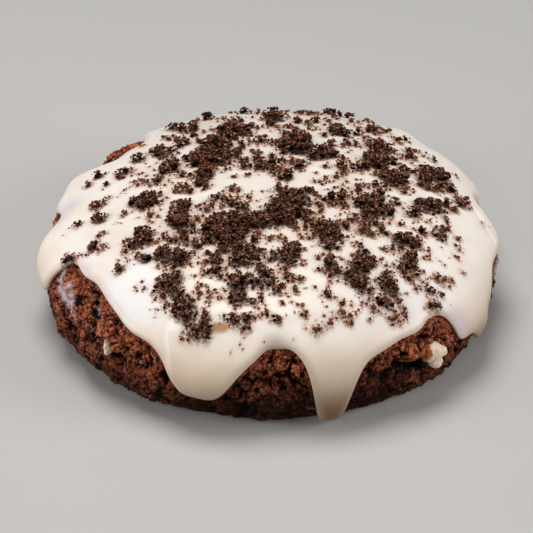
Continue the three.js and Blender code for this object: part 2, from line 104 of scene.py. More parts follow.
# Drifts of crushed wafer: x, y, radius, and how thickly it lies, from 1 to 3.
DRIFTS = [
    (-18, 27, 2.5, 2), (-8, 23, 3.5, 3), (-17, 22.5, 1.5, 2), (-12, 16, 3.5, 3), (-14, 10, 3.5, 3),
    (-14, 4, 2.5, 3), (-6, 8, 3.0, 2), (-23, 15, 3.0, 2), (-22, 6, 2.5, 2), (-18, -1, 1.5, 2),
    (-28, 3, 2.0, 1), (-31, 8, 2.0, 2), (-35.5, -2, 1.6, 3), (-34.5, -7.5, 0.8, 2),
    (-34, -13, 0.6, 2), (-35, -16.5, 1.4, 3), (-25, -4, 2.8, 3), (-24, -10, 0.8, 2),
    (-18, -8, 2.0, 3), (-20, -12, 2.0, 2), (-26, -17, 2.8, 3), (-29.5, -24.5, 0.5, 2),
    (-25.5, -30, 1.0, 1), (-8, -16, 5.0, 3),
    (-12.5, -19.2, 2.3, 3), (-12, -24.9, 1.9, 3), (-9, 10.5, 2.3, 3),
    (1, -12.5, 4.0, 3), (4, -7, 4.0, 3), (2.5, -2, 1.2, 2),
    (-9, -7, 2.2, 2), (5, 15, 4.0, 3), (10, 12, 2.5, 3), (5, 21, 2.6, 2), (-1, 7, 3.5, 2),
    (3, 3, 2.0, 2), (0, 30, 2.5, 3), (-8, 29, 1.6, 2), (8, 28, 2.0, 2), (14, 24, 1.8, 3),
    (21, 26, 1.8, 3), (27, 24, 1.5, 2), (10, 2, 1.4, 2), (14, 6, 2.4, 2), (14, 2, 1.8, 2),
    (23, 16, 2.4, 3), (21, 9, 3.0, 3), (25, 3, 3.0, 3), (31, 17, 2.4, 2), (33, 10, 3.2, 3),
    (33, 4, 2.6, 2), (39, 1, 1.6, 3), (31, -4, 2.2, 1), (36, -3, 1.6, 2), (20, -7, 3.4, 3),
    (13, -6, 2.6, 2), (24, -8, 0.6, 2), (19, -15, 2.6, 2), (11, -17, 3.6, 3), (11, -21.5, 1.2, 2),
    (27, -18, 2.6, 2), (34, -12, 2.4, 2), (36, -16, 1.2, 2), (27, -25, 2.6, 3), (17.5, -25.7, 2.2, 3),
    (22, -29, 2.1, 3), (11, -26, 2.0, 1), (3, -24, 2.9, 3), (-5, -25, 3.6, 3), (-12, -25, 1.8, 1),
    (-19, -24, 3.4, 3), (-19.6, -31, 2.6, 3), (-16, -37, 2.0, 3), (-13, -40, 1.8, 2),
    (-6, -33, 2.8, 2), (2, -33.5, 1.0, 2), (5, -31, 0.6, 1), (-7, -39.5, 1.0, 1), (6, -38, 0.6, 1),
    (14, -36.5, 1.4, 1), (22, -33.5, 2.2, 1), (31, -28, 1.2, 2), (33, -25, 1.3, 2),
]
# Small clumps of it between the drifts: x, y, radius.
CLUMPS = [
    (-40.0, -16.8, 1.0), (43.5, -2.3, 0.4), (44.6, -3.5, 0.4), (45.0, -5.8, 0.4), (-38.8, -7.2, 0.4),
    (-29.4, -7.5, 0.6), (-22.3, -5.6, 1.2), (-24, -10.2, 0.8),
    (-26.8, -13.4, 0.5), (-33, -17.4, 0.4), (-28.5, -20.3, 0.7), (-26.5, -21.8, 0.5), (-24.2, -23, 0.6),
    (-20.7, -17.5, 1.3), (-17.3, -14.5, 1.2), (-17.8, -17.5, 0.9), (-15.5, -16, 1.5), (-15.5, -19.8, 1.3),
    (-14, -11.5, 1.0), (-12.8, -9.2, 1.3), (-16.5, -2.7, 0.6), (-14.5, -1, 0.8), (-7.5, -3, 0.8),
    (-5.2, -5.2, 0.7), (-10.8, -6, 1.2), (-5.5, -8.8, 1.2), (-3, -9.2, 1.4), (-1, -4, 1.1),
    (-13.5, -21, 0.9), (-10, -21.2, 1.1), (-3.8, -20.3, 1.1), (-11.5, -27.8, 1.1), (-8.5, -27.3, 0.8),
    (-9.8, -31, 1.1), (-10.3, -33, 1.1), (-10, -35.2, 1.0), (-2, -32.3, 0.9),
    (-1.5, -29, 1.2), (-3, -36.8, 0.8), (-5.8, -37.2, 0.8), (-5, -41.2, 0.6), (-0.8, -39, 0.8),
    (-21, -36.8, 0.5), (-17.5, -34.6, 1.1), (-14.2, -35.4, 1.0), (-16, -40.9, 0.9),
    (8.5, -6.5, 1.3), (8.8, -9, 1.2), (7.5, -3.3, 0.9), (6.3, -11, 1.3), (10, -0.3, 1.2),
    (12.5, -12.5, 0.7), (16, -9, 1.5), (15.7, -11.5, 1.2), (18.2, -11.5, 1.3), (16, -2.3, 0.9),
    (22.4, -10, 1.4), (24.5, -5.3, 0.6), (21.5, -3.5, 1.1), (28.5, -8, 1.1), (25.5, -13, 0.6),
    (22.8, -16, 0.5), (23.2, -21, 1.3), (30.3, -13.8, 0.9), (34, -7.5, 1.2), (34.3, -10.5, 1.1),
    (36, -14.5, 0.9), (33.8, -20.5, 0.4), (36.8, -20.5, 0.5), (31, -30.3, 0.8),
    (22, -25.3, 1.1), (27, -22, 1.1), (28.2, -28.3, 0.9), (25.4, -34.5, 0.8),
    (19, -31.5, 0.9), (19.5, -36, 0.5), (23, -36.5, 0.7), (15.5, -32, 1.4), (14.5, -28.8, 1.4),
    (17.5, -29, 1.2), (12.3, -28.5, 0.9), (9.3, -28.2, 0.7), (10.6, -33.5, 1.0), (5.3, -32.8, 0.8),
    (1, -39, 1.0), (8.2, -41.3, 0.4),
    (16, -35.6, 0.9), (6.3, -22.6, 0.8), (4.3, -21.8, 0.9), (6, -26.5, 0.7),
    (2, -19.4, 0.9), (5.3, -16.5, 1.2), (7, -18.5, 1.1), (16.5, -20.3, 0.6),
    (-35.8, 9.9, 0.5), (-37.7, 8, 0.4), (-33.8, 5.1, 0.8), (-27.3, 6.3, 0.8), (-29.9, 3.7, 0.7),
    (-30.3, -1.0, 0.6), (-23.5, 2.8, 1.2), (-20.2, 9, 1.1), (-18.5, 4, 1.1), (-20.6, 0.6, 0.8),
    (-27.2, 13.5, 1.3), (-24.3, 16.5, 1.2), (-20.4, 21.8, 1.2), (-18.3, 18.7, 1.5), (-15.8, 18.5, 0.8),
    (-26.7, 21.4, 0.7), (-12.8, 24.8, 0.5), (-3.2, 24.3, 1.0), (-1.8, 17.5, 1.2), (-5.4, 16, 1.5),
    (-8, 13, 1.4), (-9.2, 6.3, 1.2), (-8, 2.8, 1.1), (-4.8, 3, 0.6), (-14.3, 0, 1.5),
    (-12, 7, 1.2), (-2.5, 11, 1.2), (3.3, 24.8, 1.3), (8.5, 24, 1.0), (9.8, 20.5, 1.3),
    (11.5, 16, 1.5), (16, 22, 1.3), (18, 23, 1.0), (16.5, 17, 1.6), (19.9, 20.5, 1.3),
    (22.2, 19.5, 0.9), (26.5, 22.3, 1.0), (28.9, 24.7, 0.3), (23.3, 12.8, 1.3), (25.2, 10, 1.2),
    (28.7, 14.5, 1.1), (33.3, 19.3, 0.5), (35.9, 18.3, 0.4), (37.9, 13.8, 0.7), (37.4, 8.8, 0.4),
    (27.7, 8.5, 1.5), (36, 6, 0.9), (40, 3.5, 1.2), (38, -0.3, 1.1), (30.5, 3.5, 1.0),
    (17, 6, 1.3), (14.5, 9.8, 0.6), (20.2, 1, 1.8), (22.7, 0.3, 1.0), (17, -1.5, 0.9),
    (5, 7.5, 1.8), (27, -0.5, 1.0), (14, -1, 0.9),
    (-21.5, 29.1, 1.0), (-14.4, 33.8, 1.2), (-10.7, 32, 0.8), (-3.9, 25.8, 0.8), (1.2, 35.6, 1.2),
    (7.3, 28.2, 1.4), (12.5, 38.5, 1.2), (17.7, 32, 1.0), (-5.8, 36.5, 1.2), (-2.2, 35.2, 1.2),
    (6.2, 35, 1.3), (9.5, 35.5, 1.2), (16, 37, 1.2), (20.3, 36.3, 1.1), (3.5, 32.5, 1.0),
    (11, 31, 0.9), (14, 33, 0.8), (23, 31, 0.8), (-17, 30.5, 0.7), (24, 27.5, 0.6),
    (-16.2, -12.4, 1.3), (-15.9, -18.9, 1.0), (-12, -19.2, 1.4), (-15.8, -24.9, 1.5), (-12, -25.2, 1.2),
    (-7.9, -30.6, 1.4), (-4.1, -31, 1.1), (-7.8, -35.4, 1.0), (7.6, -13.4, 1.3), (15.3, -12.4, 1.2),
    (19.4, -11.9, 1.6), (-0.3, 9.3, 1.4), (3.8, 9.5, 1.3), (28.7, 13.7, 1.5), (11.6, -5.9, 1.2),
    (33.1, 16.5, 1.1), (-4.3, -9.8, 1.3),
    (-15.3, -40.0, 1.3), (-18.7, -35.5, 1.2), (-8.0, -37.5, 1.1), (-5.0, -36.0, 1.1), (14.6, -35.0, 1.3),
    (17.0, -32.0, 1.0), (30.5, -30.8, 1.0), (-13.8, -21.5, 1.2), (-12.5, -17.0, 1.3), (-0.6, -19.5, 0.9),
    (1.0, -22.0, 1.0), (18.4, -13.2, 1.2), (-5.5, -30.0, 1.2), (-7.0, -34.0, 1.0), (-20.8, -29.0, 1.2),
    (-16.3, -18.8, 1.5), (-15.7, -24.6, 1.8), (-12.3, -24.0, 1.4), (0.0, -25.2, 1.6), (-0.3, -30.6, 1.2),
    (-0.5, -35.3, 1.1), (15.4, -34.0, 1.4), (14.2, -38.2, 1.1), (19.8, -12.2, 1.9), (-4.4, -39.2, 0.9),
    (3.0, -29.5, 1.0), (11.2, -38.6, 1.0),
]
# Where loose crumbs lie between them: x, y, radius, and how many, up to 1.
LOOSE_FIELDS = [
    (-14, 10, 8, 0.8), (-20, 18, 7, 0.5), (0, 20, 12, 0.6), (0, 8, 7, 0.6), (22, 8, 9, 0.9),
    (31, 8, 5.5, 0.7), (22, 20, 8, 0.6), (-22, 4, 7, 0.6), (-31, 5, 5, 0.25), (-24, -6, 6, 0.4),
    (-12, -12, 7, 0.7), (0, -10, 8, 0.6), (18, -7, 8, 0.8), (28, -5, 6, 0.6), (32, -14, 4, 0.5),
    (-22, -18, 7, 0.5), (-10, -18, 7, 0.8), (11, -18, 7, 0.6), (-16, -26, 7, 0.7), (-5, -28, 8, 0.5),
    (15, -26, 8, 0.7), (26, -22, 7, 0.7), (-18, -33, 5, 0.8), (-8, -34, 6, 0.6), (5, -32, 7, 0.4),
    (18, -32, 7, 0.6), (29, -26, 5, 0.7), (-14, -39, 4, 0.7), (-5, -40, 4, 0.5), (5, -39, 4, 0.25),
    (12, -37, 4, 0.4), (-5, 31, 10, 0.5), (10, 31, 10, 0.5),
]
# Patches where only fine crumbs lie, and single lumps.
FINE_DRIFTS = [
    (-8, -3, 2.0, 1), (-28, -21, 2.0, 1), (28, -8, 3.0, 1), (37, -19, 1.5, 1), (9, -41, 0.6, 1),
    (-22, -36.5, 1.0, 1), (17, 17, 2.5, 1), (22, -34, 3.0, 1), (-5, -5, 1.0, 2), (15, -30, 2.0, 2),
    (1, -39, 1.2, 2), (-6, -43.5, 0.8, 2), (-27, 14, 1.2, 2), (-30, -9, 1.0, 2),
    (28, 8, 2.0, 2), (2.5, -2, 1.2, 2),
]
LONE_LUMPS = [
    (-35.8, 9.9), (-37.7, 8.0), (-30, 9), (-38.7, -7.2), (-34.2, -13.1), (-34.4, -7.7), (-29.5, -24.5),
    (24, -8), (-40.7, -16.0), (-39.5, -17.8), (-39.6, -16.6),
    (-21.5, 29.1), (-20.7, 29.6), (-14.4, 33.8), (-13.6, 34.4), (1.2, 35.6), (0.2, 35.2), (2.0, 35.0),
    (12.5, 38.5), (13.4, 38.0), (26.5, 23.0), (-33.8, 5.1),
]

# ---- Small helpers -------------------------------------------------------------------------------


def smooth(value, start, end):
    """0 at start, 1 at end, with a soft S between."""
    t = np.clip((value - start) / (end - start), 0, 1)
    return t * t * (3 - 2 * t)


def blend(a, b, share):
    return a + (b - a) * share


def turned(angle, start):
    """Shortest signed turn from start to angle, in degrees."""
    return (angle - start + 180) % 360 - 180


def grid_noise(p):
    """The solids' own smooth noise, from -1 to 1: a hashed value at each corner of a unit grid."""
    low = np.floor(p)
    share = p - low
    share = share * share * (3 - 2 * share)

    def corner(i, j, k):
        at = low + (i, j, k)
        wave = np.sin(at @ np.array((127.1, 311.7, 74.7))) * 43758.5453
        return 2 * (wave - np.floor(wave)) - 1

    u, v, w = share.T
    sides = [blend(corner(0, j, k), corner(1, j, k), u) for k in (0, 1) for j in (0, 1)]
    return blend(blend(sides[0], sides[1], v), blend(sides[2], sides[3], v), w)


def noises(p, layers):
    """Smooth noise in layers, each given as its height, its size and a shift of its pattern."""
    return sum(height * grid_noise(p / size + shift) for height, size, shift in layers)


def lumps(p, size, shift):
    """Rounded lumps with creases between them: 1 on a lump's middle and 0 in a crease."""
    found = (blender_noise.voronoi(Vector(q))[0] for q in p / size + shift)
    return np.array([min(1.0, second - first) for first, second, *_ in found])


# ---- The dome that every piece follows -----------------------------------------------------------


SECTION_STEPS = 3000       # points over each of the two parts of the half section


def section_curve():
    """Half section from the top to the edge of the foot: distance along, radius, height."""
    a = np.linspace(np.pi / 2, 0, SECTION_STEPS)
    b = np.linspace(0, np.pi / 2, SECTION_STEPS)[1:]
    upper_radius = COOKIE_RADIUS * np.abs(np.cos(a)) ** (2 / DOME_POWER)
    upper_height = blend(WAIST_HEIGHT, COOKIE_HEIGHT, np.sin(a) ** (2 / DOME_POWER))
    radius = np.r_[upper_radius, COOKIE_RADIUS * blend(FOOT_SHARE, 1, np.cos(b))]
    height = np.r_[upper_height, WAIST_HEIGHT * (1 - np.sin(b))]
    along = np.r_[0, np.cumsum(np.hypot(np.diff(radius), np.diff(height)))]
    return along, radius, height


SECTION = section_curve()
SECTION_LENGTH = SECTION[0][-1]
SLOPE_RADIUS = np.gradient(SECTION[1], SECTION[0])
SLOPE_HEIGHT = np.gradient(SECTION[2], SECTION[0])


def plan_factor(angle):
    a = np.radians(angle)
    dents = sum(depth / COOKIE_RADIUS * np.exp(-(turned(angle, middle) / half) ** 2)
                for middle, depth, half in PLAN_DENTS)
    return 1 + PLAN_SQUARE * np.cos(4 * a) + PLAN_OVAL * np.sin(2 * a) - dents


def radius_at(along):
    return np.interp(along, SECTION[0], SECTION[1])


def outward(angle, along):
    """Outward normal of the dome."""
    a = np.radians(angle)
    level, rise = (-np.interp(along, SECTION[0], SLOPE_HEIGHT),
                   np.interp(along, SECTION[0], SLOPE_RADIUS))
    length = np.hypot(level, rise)
    return np.stack([level * np.cos(a), level * np.sin(a), rise + 0 * a], -1) / length[..., None]


def on_dome(angle, along, lift=0.0):
    """Points on the dome, lifted off the cookie along its normal."""
    angle, along = np.broadcast_arrays(np.asarray(angle, float), np.asarray(along, float))
    a = np.radians(angle)
    radius = radius_at(along) * plan_factor(angle)
    height = np.interp(along, SECTION[0], SECTION[2])
    foot = np.stack([radius * np.cos(a), radius * np.sin(a), height], -1)
    return foot + outward(angle, along) * np.asarray(lift)[..., None]


def seen_from_above(x, y, lift):
    """Angle and distance along the dome of points at a lift off it, by their place in plan."""
    angle = np.degrees(np.arctan2(y, x))
    upper = slice(0, np.argmax(SECTION[1]))
    reach = (SECTION[1] - lift * SLOPE_HEIGHT)[upper]
    return angle, np.interp(np.hypot(x, y) / plan_factor(angle), reach, SECTION[0][upper])


# ---- The rim of the icing ------------------------------------------------------------------------


def rim_reach(angle):
    """Distance from the top to the rim, along the surface."""
    reach = ICING_REACH + sum(h * np.sin(n * np.radians(angle) + p) for h, n, p in RIM_RIPPLES)
    for middle, run, before, after, power_before, power_after in RUNS:
        off = turned(angle, middle)
        half = np.where(off < 0, before, after)
        power = np.where(off < 0, power_before, power_after)
        reach = reach + run / (1 + np.abs(off / half) ** power)
    return reach


RIM_STEPS = 14400          # points on the rim's line
RIM_ANGLES = np.linspace(0, 360, RIM_STEPS + 1)[:-1]
RIM_TREE = KDTree(len(RIM_ANGLES))
for index, point in enumerate(on_dome(RIM_ANGLES, rim_reach(RIM_ANGLES))):
    RIM_TREE.insert(point, index)
RIM_TREE.balance()


def inside_rim(angle, along):
    """Distance from the rim: positive where the icing lies, negative on the bare side."""
    points = on_dome(angle, along).reshape(-1, 3)
    away = np.array([RIM_TREE.find(point)[2] for point in points]).reshape(np.shape(angle))
    return np.where(along < rim_reach(angle), away, -away)


def rim_columns(count):
    """Angles at even steps along the rim's own outline."""
    line = on_dome(RIM_ANGLES, rim_reach(RIM_ANGLES))
    steps = np.linalg.norm(np.roll(line, -1, 0) - line, axis=1)
    lengths = np.r_[0, np.cumsum(steps)]
    wanted = np.arange(count) * lengths[-1] / count
    return np.interp(wanted, lengths, np.r_[RIM_ANGLES, 360.0])


def spot_share(angle, along, spot):
    """How near a point is to the middle of a round spot: 1 there, 0.14 at its radius."""
    middle, reach, radius = spot[:3]
    across = radius_at(along) * np.radians(turned(angle, middle))
    return np.exp(-2 * ((across / radius) ** 2 + ((along - reach) / radius) ** 2))


def line_share(angle, along, line):
    """The same for a streak through several points (angle, along), of one half width."""
    half, points = line
    scale = radius_at(along)
    nearest = np.full(np.shape(angle), 1e9)
    for (angle_a, along_a), (angle_b, along_b) in zip(points, points[1:]):
        ax, ay = scale * np.radians(turned(angle, angle_a)), along - along_a
        bx, by = scale * np.radians(turned(angle_b, angle_a)), along_b - along_a
        t = np.clip((ax * bx + ay * by) / (bx * bx + by * by), 0, 1)
        nearest = np.minimum(nearest, np.hypot(ax - t * bx, ay - t * by))
    return np.exp(-2 * (nearest / half) ** 2)


# ---- Meshes --------------------------------------------------------------------------------------


def wrapped_sheet(columns, rows):
    """A flat sheet that a piece is shaped from, and the column and row of each of its corners.
    Its last column lies on its first one, and its first and last rows are each one point."""
    shape = bmesh.new()
    bmesh.ops.create_grid(shape, x_segments=columns, y_segments=rows, size=1)
    place = np.array([corner.co for corner in shape.verts])
    column = np.rint((place[:, 0] + 1) * columns / 2).astype(int)
    row = rows - np.rint((place[:, 1] + 1) * rows / 2).astype(int)
    return shape, column, row


def closed(name, shape, place, finish, masks):
    """The piece: its corners go to their places, in millimetres, its masks become attributes, and
    the corners that meet are merged."""
    mesh = bpy.data.meshes.new(name)
    shape.to_mesh(mesh)
    mesh.vertices.foreach_set("co", (place * MM).ravel())
    give_masks(mesh, masks)
    shape.clear()
    shape.from_mesh(mesh)
    bmesh.ops.remove_doubles(shape, verts=shape.verts, dist=1e-7)
    bmesh.ops.recalc_face_normals(shape, faces=shape.faces)
    shape.to_mesh(mesh)
    shape.free()
    return dressed(name, mesh, finish)


def give_masks(mesh, masks):
    for mask, values in dict(masks).items():
        mesh.attributes.new(mask, "FLOAT", "POINT").data.foreach_set("value", values.astype(np.float32))


def dressed(name, mesh, finish, masks=(), smooth_faces=True):
    mesh.polygons.foreach_set("use_smooth", np.full(len(mesh.polygons), smooth_faces))
    give_masks(mesh, masks)
    mesh.materials.append(finish)
    mesh.update()
    piece = bpy.data.objects.new(name, mesh)
    bpy.context.scene.collection.objects.link(piece)
    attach(piece, "root")
    return piece


BALL_STEPS = {"grain": 1, "lump": 2, "chunk": 3}
SHAPES_EACH = 16           # different shapes that the crumbs of one size are made from
CORNERS_OUT = (0.8, 1.12)  # how far out the corners of a small one lie
CHUNK_SWELL = (0.9, 0.28, 2.4)   # and those of a chunk: mean, noise, and how often it turns
CUTS_AT = (0.55, 0.8)      # how far out the flats are cut
SLIM = [(0.7, 1), (0.5, 0.85)]   # a crumb's second and third widths as shares of its first
PRESSED = 0.35             # what stands out of the surface is pressed towards it by this share
UNDER_FROM = (0.45, -0.35) # its under side begins and is full this far out, in half widths; painted shade in a heap


def broken_shapes(random, kind, cuts):
    """Corners and faces of several broken lumps: balls with flats cut off them at random."""
    ball = bmesh.new()
    if kind == "dust":
        bmesh.ops.create_uvsphere(ball, u_segments=4, v_segments=2, radius=1)
    else:
        bmesh.ops.create_icosphere(ball, subdivisions=BALL_STEPS[kind], radius=1)
    bmesh.ops.triangulate(ball, faces=ball.faces)
    corners = np.array([corner.co for corner in ball.verts])
    faces = np.array([[corner.index for corner in face.verts] for face in ball.faces])
    ball.free()
    made = []
    for _ in range(SHAPES_EACH):
        shape = corners * random.uniform(*CORNERS_OUT, (len(corners), 1))
        if kind == "chunk":
            mean, swell, often = CHUNK_SWELL
            shape = corners * (mean + swell * grid_noise(often * corners + random.uniform(0, 99)))[:, None]
        for _ in range(cuts):
            flat = random.normal(size=3)
            flat /= np.linalg.norm(flat)
            over = np.maximum(0, shape @ flat - random.uniform(*CUTS_AT))
            shape = shape - over[:, None] * flat
        made.append(shape)
    return np.array(made), faces


def any_turns(random, count):
    """Random rotations, as matrices."""
    q = random.normal(size=(count, 4))
    w, x, y, z = (q / np.linalg.norm(q, axis=1, keepdims=True)).T
    return np.stack([
        1 - 2 * (y * y + z * z), 2 * (x * y - z * w), 2 * (x * z + y * w),
        2 * (x * y + z * w), 1 - 2 * (x * x + z * z), 2 * (y * z - x * w),
        2 * (x * z - y * w), 2 * (y * z + x * w), 1 - 2 * (x * x + y * y),
    ], -1).reshape(-1, 3, 3)


def scattered(name, random, kind, middles, halves, finish, cuts, masks, normals):
    """One mesh of many broken lumps, each turned its own way and a little flattened."""
    shapes, faces = broken_shapes(random, kind, cuts)
    count, corners = len(middles), shapes.shape[1]
    stretch = np.stack([np.ones(count)] + [random.uniform(*share, count) for share in SLIM], 1)
    local = shapes[random.integers(0, len(shapes), count)] * (stretch * halves[:, None])[:, None, :]
    turns = any_turns(random, count)
    place = np.einsum("nij,nkj->nki", turns, local)
    out = np.einsum("nki,ni->nk", place, normals)
    place -= PRESSED * out[..., None] * normals[:, None, :]
    place += middles[:, None, :]
    mesh = bpy.data.meshes.new(name)
    mesh.vertices.add(count * corners)
    mesh.vertices.foreach_set("co", (place * MM).ravel())
    loops = (faces[None] + (np.arange(count) * corners)[:, None, None]).ravel()
    mesh.loops.add(len(loops))
    mesh.loops.foreach_set("vertex_index", loops)
    mesh.polygons.add(len(loops) // 3)
    mesh.polygons.foreach_set("loop_start", np.arange(0, len(loops), 3))
    mesh.update(calc_edges=True)
    each = {mask: np.repeat(values, corners) for mask, values in masks.items()}
    each["tone"] = np.repeat(random.uniform(0, 1, count), corners)
    each["under"] = smooth(out / halves[:, None], *UNDER_FROM).ravel()
    return dressed(name, mesh, finish, each, smooth_faces=False)


# ---- Finishes ------------------------------------------------------------------------------------


class Value:
    """A number in a finish's nodes. Sums on it add Math nodes."""

    def __init__(self, finish, socket):
        self.finish, self.socket = finish, socket

    def _math(self, operation, *terms):
        return self.finish.add("ShaderNodeMath", {"operation": operation}, *terms)

    def __add__(self, other):
        return self._math("ADD", self, other)

    def __sub__(self, other):
        return self._math("SUBTRACT", self, other)

    def __mul__(self, other):
        return self._math("MULTIPLY", self, other)

    def __radd__(self, other):
        return self._math("ADD", other, self)

    def __rsub__(self, other):
        return self._math("SUBTRACT", other, self)

    def __rmul__(self, other):
        return self._math("MULTIPLY", other, self)


class Finish:
    """A material with one surface shader, and the one method that adds its nodes."""

    def __init__(self, name, **constants):
        self.material = bpy.data.materials.new(name)
        self.material.use_nodes = True
        self.tree = self.material.node_tree
        self.shader = self.tree.nodes["Principled BSDF"]
        self.give(**constants)

    def give(self, **values):
        for name, value in values.items():
            self._set(self.shader.inputs[name.replace("_", " ")], value)

    def _set(self, socket, value):
        if isinstance(value, Value):
            self.tree.links.new(value.socket, socket)
        elif socket.type == "RGBA":
            socket.default_value = (*value, 1)
        else:
            socket.default_value = value

    def add(self, kind, settings=(), *values, out=None, **named):
        """The node, with its settings, and values or links in its first sockets and named ones."""
        node = self.tree.nodes.new(kind)
        for name, value in dict(settings).items():
            setattr(node, name, value)
        for socket, value in zip(node.inputs, values):
            self._set(socket, value)
        for name, value in named.items():
            wanted = name.replace("_", " ")
            self._set(next(s for s in node.inputs if s.name == wanted and s.enabled), value)
        return Value(self, node.outputs[out] if out else next(s for s in node.outputs if s.enabled))

    def mask(self, name):
        return self.add("ShaderNodeAttribute", {"attribute_name": name}, out="Fac")

    def object_place(self):
        return self.add("ShaderNodeTexCoord", out="Object")

    def grain(self, size, detail=3.0, roughness=0.55, distortion=0.0):
        """Noise from 0 to 1 whose features are about this many millimetres."""
        return self.add("ShaderNodeTexNoise", Vector=self.object_place(), Scale=1 / (size * MM),
                        Detail=detail, Roughness=roughness, Distortion=distortion)

    def cells(self, size):
        """Distance from the middles of cells about this many millimetres wide."""
        return self.add("ShaderNodeTexVoronoi", Vector=self.object_place(), Scale=1 / (size * MM))

    def stepped(self, value, low, high):
        """0 at the low end, 1 at the high one, with a soft S between."""
        return self.add("ShaderNodeMapRange", {"interpolation_type": "SMOOTHSTEP"}, Value=value,
                        From_Min=low, From_Max=high)

    def mixed(self, share, a, b):
        return self.add("ShaderNodeMix", {"data_type": "RGBA"}, Factor=share, A=a, B=b)

    def layered(self, colour, *layers):
        """The colour with others laid over it in turn, each given as its share and its shade."""
        for share, shade in layers:
            colour = self.mixed(share, colour, srgb(*shade))
        return colour

    def bumped(self, height, distance, strength, under=None):
        extra = {"Normal": under} if under is not None else {}
        return self.add("ShaderNodeBump", Height=height, Distance=distance * MM, Strength=strength,
                        **extra)


def srgb(red, green, blue):
    """Linear colour of an everyday one, each part from 0 to 255."""
    return tuple(c / 12.92 if c <= 0.04045 else ((c + 0.055) / 1.055) ** 2.4
                 for c in (red / 255, green / 255, blue / 255))


def icing_finish():
    icing = Finish("poured_icing", IOR=1.45, Subsurface_Weight=0.22, Subsurface_Scale=1.2 * MM,
                   Subsurface_Radius=(1.0, 0.75, 0.55), Coat_Weight=0.18, Coat_Roughness=0.18)
    slow = icing.grain(9, 2)
    fine = icing.grain(0.5, 3)
    white, stain = icing.mask("white"), icing.mask("stain")
    sugar = icing.mixed(icing.stepped(slow, 0.35, 0.7), srgb(235, 225, 214), srgb(240, 233, 226))
    colour = icing.layered(
        sugar,
        # painted sheen: a whiter colour where the glaze catches the light; it is also glossier there
        (white, (240, 238, 237)),
        # ivory: the colour of thick icing, and partly painted shade down the side and at the front
        (icing.mask("ivory"), (227, 206, 179)),
        # painted shade: darker low on the drips, where less light falls, and on the rim over the front bay
        (icing.mask("tan_shade") * 0.95, (112, 80, 50)),
        # painted shade along the rim, where the icing turns down out of the light
        (icing.mask("edge") * 0.5, (190, 164, 144)),
        (icing.mask("thin") * 0.7, (212, 202, 210)),
        # painted shade near the crumbs
        (icing.mask("near") * 0.7, (206, 190, 176)),
        (icing.stepped(icing.mask("caramel"), 0.15, 0.9) * 0.95, (170, 124, 76)),
        (stain * icing.stepped(fine, 0.4, 0.6) * 0.9, (172, 100, 40)),
        # dark dust under the heaps, and partly painted shade in the gaps between the crumbs
        (icing.mask("dust") * icing.stepped(fine, 0.2, 0.55), (84, 44, 26)),
    )
    icing.give(Base_Color=colour, Roughness=0.36 + 0.14 * slow + 0.25 * stain - 0.16 * white,
               Normal=icing.bumped(icing.grain(1.6, 3) * (0.3 + 0.9 * white), 0.12, 0.4))
    return icing.material


def cookie_finish():
    cookie = Finish("baked_chocolate", IOR=1.45, Specular_IOR_Level=0.09)
    patches = cookie.grain(3.2, 4, 0.6)
    grit = cookie.grain(0.75, 4, 0.72)
    flakes = cookie.stepped(cookie.grain(1.5, 4, 0.65, 0.6), 0.54, 0.66)
    glints = cookie.stepped(cookie.grain(0.55, 2, 0.6), 0.6, 0.67)
    foot = cookie.mask("foot")
    film = cookie.mask("film") * cookie.stepped(cookie.grain(0.9, 3), 0.25, 0.5) * (1 - 0.7 * foot)
    dough = cookie.mixed(cookie.stepped(patches, 0.35, 0.65), srgb(124, 46, 19), srgb(182, 92, 55))
    colour = cookie.layered(
        dough,
        (flakes * 0.4, (184, 96, 54)),
        # painted highlight: orange on the ridge left of the right walnut
        (cookie.mask("ridge_highlight") * 0.5, (190, 98, 42)),
        # speckled crumb, partly painted light: pale on the tops of the fine bumps and dark in their dips
        (cookie.stepped(grit, 0.52, 0.64) * 0.55, (208, 148, 120)),
        (cookie.stepped(grit, 0.52, 0.42) * 0.92, (24, 6, 3)),
        # painted glints: pale specks that stand in for highlights on the moist crust
        (glints * 0.55, (226, 188, 170)),
        # painted shade: darker down in cracks, holes, pits and the hollow, and near the icing's rim
        (1 - cookie.stepped(cookie.mask("depth"), 0.25, 0.8), (5, 1, 1)),
        # painted shade: darker low on the side, and higher up at the front
        (foot * 0.9, (15, 5, 2)),
        (film, (196, 180, 186)),
    )
    bump = cookie.bumped(grit, 0.45, 0.9, cookie.bumped(cookie.cells(0.7), 0.2, 0.6))
    cookie.give(Base_Color=colour, Roughness=0.7 - 0.2 * grit - 0.2 * film, Normal=bump)
    return cookie.material


def wafer_finish():
    wafer = Finish("crushed_wafer", IOR=1.45, Specular_IOR_Level=0.04)
    tone, under, heaped_up = wafer.mask("tone"), wafer.mask("under"), wafer.mask("heaped")
    grit = wafer.grain(0.45, 3, 0.7)
    fleck_glints = wafer.stepped(wafer.grain(0.5, 2, 0.6), 0.54, 0.62)
    colour = wafer.layered(
        wafer.mixed(tone, srgb(46, 21, 12), srgb(148, 95, 74)),
        # painted glints: pale specks that stand in for highlights on the crumbs
        (fleck_glints * (0.35 + 0.6 * tone), (214, 166, 138)),
        (wafer.mask("fine") * (0.3 + 0.6 * tone), (148, 82, 34)),
        # dark specks, partly painted shade in the dips of the fine bumps
        (wafer.stepped(grit, 0.55, 0.42) * 0.9, (10, 3, 1)),
        (under * (1 - heaped_up) * 0.8, (158, 88, 34)),
        # painted shade: dark under sides of the crumbs in a heap
        (under * heaped_up * 0.9, (40, 17, 8)),
        # painted shade on crumbs buried deep in a heap
        (wafer.mask("sunk_shade") * 0.95, (10, 3, 1)),
    )
    wafer.give(Base_Color=colour, Roughness=0.75 - 0.3 * grit, Normal=wafer.bumped(grit, 0.25, 0.9))
    return wafer.material


